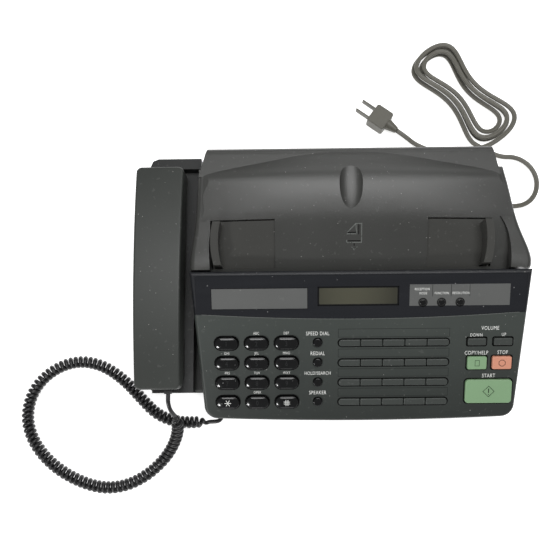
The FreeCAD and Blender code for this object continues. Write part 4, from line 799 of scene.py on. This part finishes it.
def nurbs_line(points: Sequence[Vector], fineness: int) -> list[Vector]:
    """Read a quadratic curve through its control points.

    Args:
        points: Control points in metres.
        fineness: Samples per span.

    Returns:
        Points along the curve.
    """
    curve = bpy.data.curves.new("route", "CURVE")
    curve.dimensions = "3D"
    spline = curve.splines.new("NURBS")
    spline.points.add(len(points) - 1)
    for knot, point in zip(spline.points, points):
        knot.co = (*point, 1.0)
    spline.order_u = 3
    spline.use_endpoint_u = True
    spline.resolution_u = fineness
    mesh = curve_mesh(curve)
    line = [v.co.copy() for v in mesh.vertices]
    bpy.data.meshes.remove(mesh)
    return line


class MeasuredLine:
    """A line with lengths and untwisted frames along it."""

    def __init__(self, points: Sequence[Vector]) -> None:
        """Measure a line.

        Args:
            points: Points of the line.
        """
        self.points = list(points)
        self.lengths = [0.0]
        for a, b in zip(self.points, self.points[1:]):
            self.lengths.append(self.lengths[-1] + (b - a).length)
        self.total = self.lengths[-1]
        self.headings = headings(self.points, False)
        self.index = 0

    def at(self, length: float) -> tuple[Vector, Vector, Vector]:
        """Find a place on the line.

        Args:
            length: How far along; no less than in the call before.

        Returns:
            The point, its normal and its binormal.
        """
        while self.index < len(self.lengths) - 2 and self.lengths[self.index + 1] < length:
            self.index += 1
        i = self.index
        share = (length - self.lengths[i]) / (self.lengths[i + 1] - self.lengths[i])
        point = self.points[i].lerp(self.points[i + 1], share)
        pairs = zip(self.headings[i], self.headings[i + 1])
        ahead, normal = (first.lerp(second, share).normalized() for first, second in pairs)
        return point, normal, ahead.cross(normal)


def eased(share: float) -> float:
    """Let a share between 0 and 1 start and end gently."""
    return share * share * (3 - 2 * share)


def millimetres(points: Iterable[Sequence[float]]) -> list[Vector]:
    """Points given in millimetres, in metres."""
    return [Vector(p) * MM for p in points]


# Sub-assemblies


@dataclass
class SubAssembly:
    """A group of pieces painted from one box."""

    paint: Paintbox
    # Names of CAD nodes, parted by blanks, under their finishes.
    finishes: ClassVar[dict[Palette, str]] = {}

    def dress(self) -> None:
        """Give the CAD nodes their finishes."""
        for finish, names in self.finishes.items():
            for name in names.split():
                self.paint.dress(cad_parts[name], finish)
                LOG.info("%s: %s", name, finish.value.name)

    def build(self) -> None:
        """Add the pieces that the CAD nodes don't show."""


def panel_plane() -> Matrix:
    """Carry the panel's own frame to the machine."""
    place = Matrix.Translation(Vector(PANEL_ORIGIN) * MM)
    return place @ Matrix.Rotation(math.radians(PANEL_SLOPE), 4, "X")


@dataclass
class OperationPanel(SubAssembly):
    """Panel with its printing, key legends and display strip, in millimetres of its plane."""

    finishes = {
        Palette.PANEL: "panel_housing",
        Palette.STRIP: "display_bezel",
        Palette.DISPLAY: "display_window",
        Palette.BOARD: "panel_board",
        Palette.DARK_KEY: " ".join("dial_key_" + name for name in DIAL_NAMES)
        + " memory_key redial_key hold_key speaker_key mode_key menu_key fine_key",
        Palette.FLAT_KEY: "memory_keys_1 memory_keys_2 memory_keys_3 memory_keys_4 volume_rocker",
        Palette.GREEN_KEY: "copy_key start_key",
        Palette.ORANGE_KEY: "stop_key",
    }
    dial_first_u: float = -127.5
    dial_pitch_u: float = 28.65
    dial_rise: float = 3.0
    dial_size: Triple = (21.8, 12.2, 5.9)
    dome_rise: float = 0.9
    dome_inset: float = 0.8
    dome_sink: float = 0.1
    digit_size: float = 7.0
    letters_rise: float = 9.5
    letters_size: float = 3.8
    row_first_v: float = 80.3
    row_pitch_v: float = 19.8
    row_count: int = 4
    round_u: float = -40.3
    round_rise: float = 8.8
    memory_u: Flat = (-20.1, 84.7)
    memory_drop: float = 0.5
    memory_half: float = 3.2
    memory_edge: float = 0.75
    label_v: Flat = (5.6, 13.6)
    label_margin: float = 0.5
    side_rise: float = 2.6
    side_size: Triple = (18.4, 12.6, 1.6)
    copy_place: Flat = (111.9, 59.1)
    copy_symbol: Flat = (2.0, 2.7)
    stop_place: Flat = (135.6, 59.1)
    stop_radius: float = 3.2
    start_size: Triple = (44.6, 23.6, 3.4)
    start_place: Flat = (124.1, 30.4)
    start_symbol: tuple[Flat, ...] = ((124.1, 36.0), (129.4, 30.6), (124.1, 25.2), (118.7, 30.6))
    start_marks: tuple[Flat, ...] = ((29.6, 33.2), (27.6, 27.7))
    volume_size: Triple = (17.4, 7.0, 1.0)
    volume_places: tuple[Flat, ...] = ((111.1, 80.0), (135.9, 80.0))
    plate: Box = (-140.7, -49.8, 113.6, 133.6)
    display: Box = (-39.8, 35.8, 116.6, 134.2)
    film: Box = (46.2, 140.4, 115.5, 136.1)
    film_lines_u: Triple = (67.6, 85.1, 102.5)
    film_lines_v: Flat = (124.6, 135.6)
    mode_u: Triple = (58.9, 76.35, 93.8)
    mode_v: float = 118.7
    mode_hole: float = 3.15
    mode_ring: float = 3.9
    bow_v: float = 103.2
    bow_depth: float = 5.7
    bow_half: float = 155.5
    bow_step: float = 5.0
    edge_gap: float = 0.95
    thin_line: float = 0.35
    fine_line: float = 0.4
    middle_line: float = 0.5
    sign_line: float = 0.6
    mark_line: float = 0.8
    ring_line: float = 0.9
    edge_line: float = 1.0
    display_line: float = 1.1
    print_level: float = 0.05
    film_level: float = 0.06
    line_level: float = 0.1
    letters: tuple[str, ...] = ("", "ABC", "DEF", "GHI", "JKL", "MNO", "PRS", "TUV", "WXY", "", "OPER", "")
    signs: str = "123456789*0#"
    round_words: tuple[tuple[str, float], ...] = (
        ("SPEED DIAL", 5.3), ("REDIAL", 5.3), ("HOLD/SEARCH", 4.7), ("SPEAKER", 5.3),
    )
    side_words: tuple[Label, ...] = (
        ("VOLUME", 123.5, 93.0, 5.4), ("DOWN", 110.6, 86.2, 4.5), ("UP", 136.6, 86.6, 4.5),
        ("COPY/HELP", 111.4, 68.6, 5.4), ("STOP", 136.4, 68.9, 5.3), ("START", 124.1, 45.6, 5.4),
    )
    film_words: tuple[Label, ...] = (
        ("RECEPTION", 57.8, 131.4, 3.3), ("MODE", 58.9, 127.4, 3.3), ("FUNCTION", 76.35, 127.4, 3.3),
        ("RESOLUTION", 94.2, 127.4, 3.3),
    )

    def row_v(self, row: int) -> float:
        """Height of a key row on the panel."""
        return self.row_first_v - row * self.row_pitch_v

    def dial_place(self, index: int) -> Flat:
        """Middle of a dial key."""
        return self.dial_first_u + self.dial_pitch_u * (index % 3), self.row_v(index // 3)

    def sheet(self, level: float) -> PrintSheet:
        """Start a sheet of printing over the panel."""
        return PrintSheet(panel_plane(), level)

    def show(self, sheet: PrintSheet, name: str, ink: Palette, body: str = "panel") -> None:
        """Make a sheet an object that rides the panel or a key."""
        sheet.build(name, self.paint.get(ink), body)

    def build(self) -> None:
        """Add the printing and the legends."""
        self.build_labels()
        self.build_memory_strips()
        self.build_key_gap_shade()
        self.build_film()
        self.build_strip_lines()
        self.build_dial_domes()
        self.build_dial_legends()
        self.build_side_legends()

    def build_labels(self) -> None:
        """Small white words and letters on the panel."""
        sheet = self.sheet(self.print_level)
        for index, letters in enumerate(self.letters):
            u, v = self.dial_place(index)
            if letters:
                sheet.word(letters, u, v + self.letters_rise, self.letters_size)
        for row, (word, size) in enumerate(self.round_words):
            sheet.word(word, self.round_u, self.row_v(row) + self.round_rise, size)
        for label in self.side_words:
            sheet.word(*label)
        self.show(sheet, "panel_words", Palette.WHITE_INK)

    def build_memory_strips(self) -> None:
        """Label strips, and dark gaps widened with painted shade round the one-touch rows."""
        edges = self.sheet(self.print_level)
        lines = self.sheet(self.film_level)
        u0, u1 = self.memory_u
        low, high = self.label_v
        half = self.memory_half
        reach = half + self.memory_edge
        turns = [math.radians(15.0 * k) for k in range(-6, 7)]
        for row in range(self.row_count):
            v = self.row_v(row) - self.memory_drop
            label = (u0 - self.label_margin, u1 + self.label_margin, v + low, v + high)
            lines.frame_line(label, self.thin_line)
            right = [(u1 - half + reach * math.cos(a), v + reach * math.sin(a)) for a in turns]
            left = [(u0 + half - reach * math.cos(a), v - reach * math.sin(a)) for a in turns]
            # Dark gap round the row's caps, widened with painted shade.
            edges.outline(right + left, self.ring_line)
        self.show(edges, "memory_row_gap_shade", Palette.DARK_INK_AND_SHADE)
        self.show(lines, "memory_label_frames", Palette.EDGE_INK)

    def build_key_gap_shade(self) -> None:
        """Dark gaps round the larger keys, widened with painted shade."""
        sheet = self.sheet(self.print_level)
        keys = [(self.dial_place(index), self.dial_size) for index in range(len(self.signs))]
        keys += [(place, self.side_size) for place in (self.copy_place, self.stop_place)]
        keys += [(place, self.volume_size) for place in self.volume_places]
        keys.append((self.start_place, self.start_size))
        # Dark ring round each key: its gap, widened with painted shade.
        for (u, v), size in keys:
            rim = rounded_outline(size, self.edge_gap, 16)
            sheet.outline([(u + du, v + dv) for du, dv in rim], self.edge_line)
        self.show(sheet, "key_edges", Palette.DARK_INK_AND_SHADE)

    def build_film(self) -> None:
        """Bare plate and the film round the small keys."""
        sheet = self.sheet(self.film_level)
        sheet.patch(self.plate)
        u0, u1, low, high = self.film
        ends = [u0, *self.film_lines_u[:2], u1]
        for left, right, u in zip(ends, ends[1:], self.mode_u):
            sheet.patch((left, right, low, high), ring(u, self.mode_v, self.mode_hole, 24))
        self.show(sheet, "strip_films", Palette.FILM)

    def build_strip_lines(self) -> None:
        """Lines and words on the display strip, and a painted highlight along its lower edge."""
        lines = self.sheet(self.line_level)
        low, high = self.film_lines_v
        for u in self.film_lines_u:
            lines.stroke((u, low), (u, high), self.thin_line)
        lines.frame_line(self.plate, self.middle_line)
        lines.frame_line(self.display, self.display_line)
        for u in self.mode_u:
            lines.outline(ring(u, self.mode_v, self.mode_ring, 18), self.ring_line)
        self.show(lines, "strip_lines", Palette.DARK_INK_AND_SHADE)
        # Painted highlight along the step under the strip's bowed lower edge.
        shine = self.sheet(self.print_level)
        across = [self.bow_step * k for k in range(-30, 31)]
        bow = [(u, self.bow_v + self.bow_depth * (u / self.bow_half) ** 2) for u in across]
        shine.path(bow, self.fine_line)
        self.show(shine, "strip_edge_painted_highlight", Palette.HIGHLIGHT_PAINT)
        words = self.sheet(self.line_level)
        for label in self.film_words:
            words.word(*label)
        self.show(words, "strip_words", Palette.WHITE_INK)

    def build_dial_domes(self) -> None:
        """Cushion-shaped tops of the dial keys."""
        sides = 40
        rows = 7
        last = (rows - 1) * sides
        rim = rounded_outline(self.dial_size, -self.dome_inset, sides)
        faces = ring_faces(rows, sides) + [list(range(last, last + sides))]
        plane = panel_plane()
        for index, name in enumerate(DIAL_NAMES):
            u, v = self.dial_place(index)
            points: list[Vector] = []
            for row in range(rows):
                share = 1.0 - (row / rows) ** 1.5
                level = self.dial_rise + self.dome_rise * (1.0 - share ** 4) - self.dome_sink
                points += [plane @ (Vector((u + du * share, v + dv * share, level)) * MM) for du, dv in rim]
            key = "dial_key_" + name
            made = mesh_object(key + "_dome", points, faces)
            smooth(made)
            self.paint.dress(made, Palette.DARK_KEY)
            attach(made, key + "_body")

    def build_dial_legends(self) -> None:
        """Digits and signs on the dial keys."""
        for index, (name, sign) in enumerate(zip(DIAL_NAMES, self.signs)):
            sheet = self.sheet(self.dial_rise + self.dome_rise)
            u, v = self.dial_place(index)
            ink = Palette.WHITE_INK
            if sign == "*":
                self.draw_star(sheet, u, v)
            elif sign == "#":
                self.draw_hash(sheet, u, v)
            else:
                sheet.word(sign, u, v, self.digit_size)
                ink = Palette.DIM_INK
            key = "dial_key_" + name
            self.show(sheet, key + "_legend", ink, key + "_body")

    def draw_star(self, sheet: PrintSheet, u: float, v: float) -> None:
        """Draw a star of three thin lines.

        Args:
            sheet: The sheet to draw on.
            u: Its middle across the panel.
            v: Its middle up the panel.
        """
        reach = 2.9
        for turn in (0.0, 60.0, 120.0):
            du = reach * math.cos(math.radians(turn))
            dv = reach * math.sin(math.radians(turn))
            sheet.stroke((u - du, v - dv), (u + du, v + dv), self.sign_line)

    def draw_hash(self, sheet: PrintSheet, u: float, v: float) -> None:
        """Draw a hash sign of four thin lines.

        Args:
            sheet: The sheet to draw on.
            u: Its middle across the panel.
            v: Its middle up the panel.
        """
        reach = 2.7
        for side in (-1.0, 1.0):
            sheet.stroke((u + side, v - reach), (u + side, v + reach), self.sign_line)
            sheet.stroke((u - reach, v + side), (u + reach, v + side), self.sign_line)

    def build_side_legends(self) -> None:
        """Symbols on the copy, stop and start keys."""
        level = self.side_rise + self.print_level
        u, v = self.copy_place
        du, dv = self.copy_symbol
        copy = self.sheet(level)
        copy.frame_line((u - du, u + du, v - dv, v + dv), self.fine_line)
        self.show(copy, "copy_key_legend", Palette.DARK_INK_AND_SHADE, "copy_key_body")
        stop = self.sheet(level)
        stop.outline(ring(*self.stop_place, self.stop_radius, 8, math.pi / 8), self.middle_line)
        self.show(stop, "stop_key_legend", Palette.DARK_INK_AND_SHADE, "stop_key_body")
        start = self.sheet(level)
        start.outline(self.start_symbol, self.middle_line)
        for low, high in self.start_marks:
            start.stroke((self.start_place[0], low), (self.start_place[0], high), self.mark_line)
        self.show(start, "start_key_legend", Palette.DARK_INK_AND_SHADE, "start_key_body")


@dataclass
class PaperCover(SubAssembly):
    """Cover with its document guides and the moulded feed symbol."""

    finishes = {
        Palette.COVER: "top_cover",
        Palette.GUIDE: "guide_left guide_right",
        Palette.GEAR: "guide_pinion",
    }
    symbol_x: float = 22.5
    symbol_y: float = 42.0
    symbol_rise: float = 0.08 * MM
    line_width: float = 0.8
    line_pieces: int = 6
    above: float = 300.0
    # Painted highlights and painted shade stand for the lit and shaded edges of the moulded symbol.
    painted_highlight_lines: tuple[tuple[Flat, ...], ...] = (
        ((1.7, 9.3), (7.3, 9.3), (7.3, -7.1), (-6.7, -7.1), (-6.7, -5.2)),
        ((1.7, 9.3), (2.6, 0.4), (-6.3, 0.4)),
        ((1.7, 9.3), (-6.0, 2.0)),
        ((-1.7, -11.2), (0.4, -13.5), (3.2, -11.2)),
    )
    painted_shade_lines: tuple[tuple[Flat, ...], ...] = (
        ((-5.6, 1.7), (1.5, 1.7)),
        ((-5.4, -5.7), (6.0, -5.7)),
        ((4.6, 8.5), (4.6, 0.4)),
        ((0.4, -8.2), (0.4, -9.6)),
    )

    def build(self) -> None:
        """Add the moulded feed symbol as painted highlights and painted shade on its edges, laid on the
        curved tray.
        """
        tree = BVHTree.FromObject(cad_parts["top_cover"], bpy.context.evaluated_depsgraph_get())
        self.lay("feed_symbol_painted_highlights", self.painted_highlight_lines, tree, Palette.HIGHLIGHT_PAINT)
        self.lay("feed_symbol_painted_shade", self.painted_shade_lines, tree, Palette.DARK_INK_AND_SHADE)

    def lay(self, name: str, lines: Iterable[Sequence[Flat]], tree: BVHTree, ink: Palette) -> None:
        """Lay lines of the symbol on the tray, in short pieces that follow its curve.

        Args:
            name: The new object's name.
            lines: Points of each line in millimetres from the symbol's middle.
            tree: The cover's faces.
            ink: The colour of the lines.
        """
        sheet = PrintSheet(Matrix.Identity(4), 0.0)
        shares = [i / self.line_pieces for i in range(self.line_pieces + 1)]
        for line in lines:
            for start, end in zip(line, line[1:]):
                short = [Vector(start).lerp(Vector(end), share) for share in shares]
                sheet.path(short, self.line_width)
        points = []
        for u, v in sheet.points:
            hit = tree.ray_cast(Vector((self.symbol_x + u, self.symbol_y + v, self.above)) * MM, -UP)
            points.append(hit[0] + UP * self.symbol_rise)
        made = mesh_object(name, points, sheet.faces)
        self.paint.dress(made, ink)
        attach(made, "cover")


class Cabinet(SubAssembly):
    """Base, cradle, feet and the works inside."""

    finishes = {
        Palette.CABINET: "base_tray",
        Palette.CRADLE: "handset_cradle",
        Palette.RUBBER: "rubber_feet",
        Palette.STEEL: "case_screws drive_motor thermal_head",
        Palette.BOARD: "main_board",
        Palette.BLACK_PLASTIC: "loudspeaker line_jacks image_sensor hook_switch",
        Palette.GEAR: "idler_gear motor_gear",
        Palette.ROLLER: "platen_roller feed_roller",
        Palette.PAPER: "paper_roll",
    }


class Handset(SubAssembly):
    """Handset shells and the small plugs of its lead."""

    finishes = {
        Palette.HANDSET: "handset_back handset_face",
        Palette.BLACK_PLASTIC: "handset_cord_plug base_cord_plug",
    }


@dataclass
class CurlyLead(SubAssembly):
    """Curly lead between the handset and the base."""

    wire: float = 4.2 * MM
    curl_radius: float = 4.2 * MM
    pitch: float = 4.9 * MM
    loose_pitch: float = 13.0 * MM
    plain_start: float = 24.0 * MM
    plain_end: float = 22.0 * MM
    fade: float = 16.0 * MM
    step: float = 0.3 * MM
    slope: float = 3.0
    stub: float = 4.0 * MM
    handset_end: Triple = (-156.4, -99.0, 35.0)
    handset_rise: float = 16.5 * MM
    handset_reach: float = 4.5 * MM
    base_end: Triple = (-108.0, -118.5, 11.0)
    lying_z: float = 6.6
    falling: tuple[Triple, ...] = (
        (-155.0, -120.0, 46.0), (-150.5, -127.0, 36.0), (-150.0, -139.0, 25.0), (-156.0, -154.0, 14.5),
        (-167.0, -169.5, 7.6),
    )
    lying: tuple[Flat, ...] = (
        (-184.0, -184.5), (-205.0, -194.5), (-229.0, -196.5), (-256.0, -188.0), (-281.0, -173.0),
        (-301.0, -151.0), (-310.0, -125.0), (-304.0, -97.0), (-284.0, -77.0), (-258.0, -68.5),
        (-232.0, -74.0), (-209.0, -90.0), (-192.0, -108.0), (-176.0, -124.0), (-157.0, -131.5),
        (-138.0, -132.5),
    )
    rising: tuple[Triple, ...] = ((-121.0, -132.0, 8.0), (-111.0, -131.5, 10.0))

    def control_points(self) -> list[Vector]:
        """Lay the route out.

        Returns:
            Points from the handset's plug to the base's.
        """
        tilt = math.radians(self.slope)
        out = Vector((0.0, -math.cos(tilt), -math.sin(tilt)))
        rise = Vector((0.0, -math.sin(tilt), math.cos(tilt)))
        start = Vector(self.handset_end) * MM + rise * self.handset_rise + out * self.handset_reach
        end = Vector(self.base_end) * MM
        front = Vector((0.0, -1.0, 0.0))
        lying = [(x, y, self.lying_z) for x, y in self.lying]
        first = [start, start + out * self.stub, start + out * (2 * self.stub)]
        last = [end + front * (2 * self.stub), end + front * self.stub, end]
        return first + millimetres([*self.falling, *lying, *self.rising]) + last

    def centres(self) -> list[Vector]:
        """Curl the wire along its route.

        Returns:
            Its centre line in metres.
        """
        line = MeasuredLine(nurbs_line(self.control_points(), 40))
        first = self.plain_start
        last = line.total - self.plain_end
        angle = 0.0
        points = []
        for i in range(int(line.total / self.step)):
            length = i * self.step
            share = max(0.0, min((length - first) / self.fade, (last - length) / self.fade, 1.0))
            full = eased(share)
            if first < length < last:
                pitch = self.loose_pitch + (self.pitch - self.loose_pitch) * full
                angle += 2 * math.pi * self.step / pitch
            point, normal, binormal = line.at(length)
            curl = normal * math.cos(angle) + binormal * math.sin(angle)
            points.append(point + curl * (self.curl_radius * full))
        points.append(line.points[-1])
        return points

    def build(self) -> None:
        """Make the lead between the handset and the base."""
        centres = self.centres()
        made = sweep("curly_lead", centres, ring(0.0, 0.0, self.wire / 2, 10), False)
        self.paint.dress(made, Palette.CURLY)
        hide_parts("handset_cord")
        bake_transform(made)


@dataclass
class MainsLead(SubAssembly):
    """Flat two-core mains lead with its hank, strain relief and plug; its route is in millimetres."""

    finishes = {Palette.MAINS: "mains_strain_relief mains_plug"}
    diameter: float = 5.2 * MM
    core_share: float = 0.54
    hank_centre: Triple = (157.8, 225.6, 0.0)
    heading: float = 128.0
    half_length: float = 66.0
    waist: float = 18.5
    swell: float = 44.0
    step: float = 6.4
    swell_step: float = 8.6
    loops: int = 4
    low_z: float = 2.7
    high_z: float = 8.9
    climb: float = 0.22
    entry_turn: float = 0.62
    entry_run: float = 18.0
    leave_run: float = 12.0
    gland_tip: Triple = (191.07, 92.0, 10.0)
    plug_face: Triple = (81.7, 181.9, 7.2)
    plug_heading: float = 143.0
    plug_run: float = 12.0
    entry: tuple[Triple, ...] = (
        (204.0, 92.0, 10.0), (216.1, 94.6, 7.6), (226.2, 101.9, 4.6), (232.4, 112.6, 2.9),
        (233.7, 124.9, 2.7), (229.8, 136.7, 2.7), (221.5, 145.9, 2.7), (210.2, 151.0, 2.7),
        (197.2, 151.0, 2.7),
    )
    leave: tuple[Triple, ...] = (
        (174.4, 159.4, 9.2), (156.8, 155.7, 8.0), (136.8, 155.7, 4.2), (117.2, 159.9, 2.8),
        (100.9, 167.5, 3.8),
    )

    def hank_point(self, turn: float) -> Vector:
        """Find a point of the hank.

        Args:
            turn: Angle wound so far.

        Returns:
            The point in millimetres.
        """
        done = (turn - math.pi - self.entry_turn) / (2 * math.pi)
        total = self.loops - self.entry_turn / (2 * math.pi)
        depth = done if done < total / 2 else total - done
        rise = eased(min(1.0, max(0.0, (done - total / 2) / self.climb + 0.5)))
        angle = math.radians(self.heading)
        along = Vector((math.cos(angle), math.sin(angle), 0.0))
        across = Vector((math.sin(angle), -math.cos(angle), 0.0))
        reach = self.half_length - self.step * depth
        swell = (self.swell - self.swell_step * depth) * math.cos(turn) ** 2
        width = self.waist - self.step * depth + swell
        level = UP * (self.low_z + (self.high_z - self.low_z) * rise)
        middle = Vector(self.hank_centre) + level
        return middle + along * (reach * math.cos(turn)) + across * (width * math.sin(turn))

    def hank_heading(self, turn: float) -> Vector:
        """Heading of the hank at a turn."""
        return (self.hank_point(turn + 0.01) - self.hank_point(turn - 0.01)).normalized()

    def centres(self) -> list[Vector]:
        """Join the hank to the strain relief and the plug.

        Returns:
            The centre line in metres.
        """
        first = math.pi + self.entry_turn
        last = math.pi + 2 * math.pi * self.loops
        count = 90 * self.loops
        hank = [self.hank_point(first + (last - first) * i / count) * MM for i in range(count + 1)]
        before = self.hank_point(first) - self.hank_heading(first) * self.entry_run
        after = self.hank_point(last) + self.hank_heading(last) * self.leave_run
        angle = math.radians(self.plug_heading)
        short = Vector(self.plug_face) - Vector((math.cos(angle), math.sin(angle), 0.0)) * self.plug_run
        entry = millimetres([self.gland_tip, *self.entry, before, self.hank_point(first)])
        leave = millimetres([self.hank_point(last), after, *self.leave, short, self.plug_face])
        return nurbs_line(entry, 10)[:-1] + hank[:-1] + nurbs_line(leave, 10)

    def section(self) -> list[Flat]:
        """Draw two round cores side by side with a groove between them.

        Returns:
            Its outline in metres.
        """
        half = self.diameter / 2
        core = half * self.core_share
        points = []
        for side in (1, -1):
            for k in range(-5, 6):
                a = math.radians(27.0 * k)
                points.append((side * ((half - core) + core * math.cos(a)), side * core * math.sin(a)))
        return points

    def build(self) -> None:
        """Make the lead from the strain relief to the plug."""
        centres = self.centres()
        made = sweep("mains_lead", centres, self.section(), True)
        self.paint.dress(made, Palette.MAINS)
        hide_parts("mains_cord", "mains_cord_hank")
        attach(made, "base")


# Studio


@dataclass
class Studio:
    """Camera, lights, floor and background."""

    lens_pixels: float = 647.2
    picture: float = 560.0
    camera_at: Triple = (-41.02, -113.94, 681.84)
    azimuth: float = 3.284
    elevation: float = 79.205
    roll: float = -3.791
    floor_half: float = 3.0
    floor_colour: Colour = (0.95, 0.95, 0.95)
    floor_glow: float = 0.75
    ambient: float = 0.25

    def build(self) -> None:
        """Set the whole studio up."""
        self.build_camera()
        self.build_lights()
        self.build_floor()
        self.build_world()
        bpy.context.scene.view_settings.view_transform = "Standard"

    def build_camera(self) -> None:
        """Camera fitted to the photograph."""
        data = bpy.data.cameras.new("camera")
        data.sensor_width = 36.0
        data.lens = self.lens_pixels / self.picture * data.sensor_width
        made = linked("camera", data)
        a = math.radians(self.azimuth)
        e = math.radians(self.elevation)
        back = Vector((math.sin(a) * math.cos(e), -math.cos(a) * math.cos(e), math.sin(e)))
        ahead = (-back).to_track_quat("-Z", "Y").to_matrix().to_4x4()
        turn = ahead @ Matrix.Rotation(math.radians(self.roll), 4, "Z")
        made.matrix_world = Matrix.Translation(Vector(self.camera_at) * MM) @ turn
        bpy.context.scene.camera = made

    def area(self, name: str, place: Triple, target: Triple, size: Flat, power: float) -> None:
        """Add a soft light.

        Args:
            name: The light's name.
            place: Where it stands.
            target: The point that it faces.
            size: Its width and depth.
            power: Its power in watts.
        """
        data = bpy.data.lights.new(name, "AREA")
        data.shape = "RECTANGLE"
        data.size, data.size_y = size
        data.energy = power
        made = linked(name, data)
        made.location = place
        made.rotation_euler = (Vector(target) - Vector(place)).to_track_quat("-Z", "Y").to_euler()

    def build_lights(self) -> None:
        """Wide soft light overhead, weak light from behind and a small one that gives glints."""
        self.area("top_light", (0.15, 0.17, 1.5), (0.15, 0.1, 0.0), (1.2, 0.6), 13.0)
        self.area("rear_light", (0.2, 1.1, 0.9), (0.0, 0.05, 0.05), (0.9, 0.6), 3.0)
        self.area("glint_light", (-0.65, -0.97, 0.6), (0.0, -0.05, 0.05), (0.18, 0.18), 4.5)

    def build_floor(self) -> None:
        """Pale floor that keeps a soft shadow."""
        half = self.floor_half
        corners = [Vector((x * half, y * half, 0.0)) for x, y in ((-1, -1), (1, -1), (1, 1), (-1, 1))]
        floor = mesh_object("floor", corners, [[0, 1, 2, 3]])
        s = Shading("floor_paper")
        s.surface({
            "Base Color": rgba(self.floor_colour),
            "Roughness": 0.9,
            "Emission Color": rgba(WHITE),
            "Emission Strength": self.floor_glow,
        })
        floor.data.materials.append(s.material)

    def build_world(self) -> None:
        """White background with even ambient light."""
        world = bpy.data.worlds.new("world")
        bpy.context.scene.world = world
        world.use_nodes = True
        tree = world.node_tree
        tree.nodes.clear()
        kinds = ("LightPath", "Background", "Background", "MixShader", "OutputWorld")
        path, seen, light, mix, output = (tree.nodes.new("ShaderNode" + kind) for kind in kinds)
        light.inputs["Strength"].default_value = self.ambient
        light.inputs["Color"].default_value = rgba(WHITE)
        seen.inputs["Color"].default_value = rgba(WHITE)
        tree.links.new(path.outputs["Is Camera Ray"], mix.inputs[0])
        tree.links.new(light.outputs[0], mix.inputs[1])
        tree.links.new(seen.outputs[0], mix.inputs[2])
        tree.links.new(mix.outputs[0], output.inputs[0])


def main() -> None:
    """Build every sub-assembly in order."""
    logging.basicConfig(level=logging.INFO)
    paint = Paintbox()
    Studio().build()
    for kind in (CurlyLead, MainsLead, Cabinet, Handset, OperationPanel, PaperCover):
        group = kind(paint)
        group.dress()
        group.build()


if __name__ == "__main__":
    main()
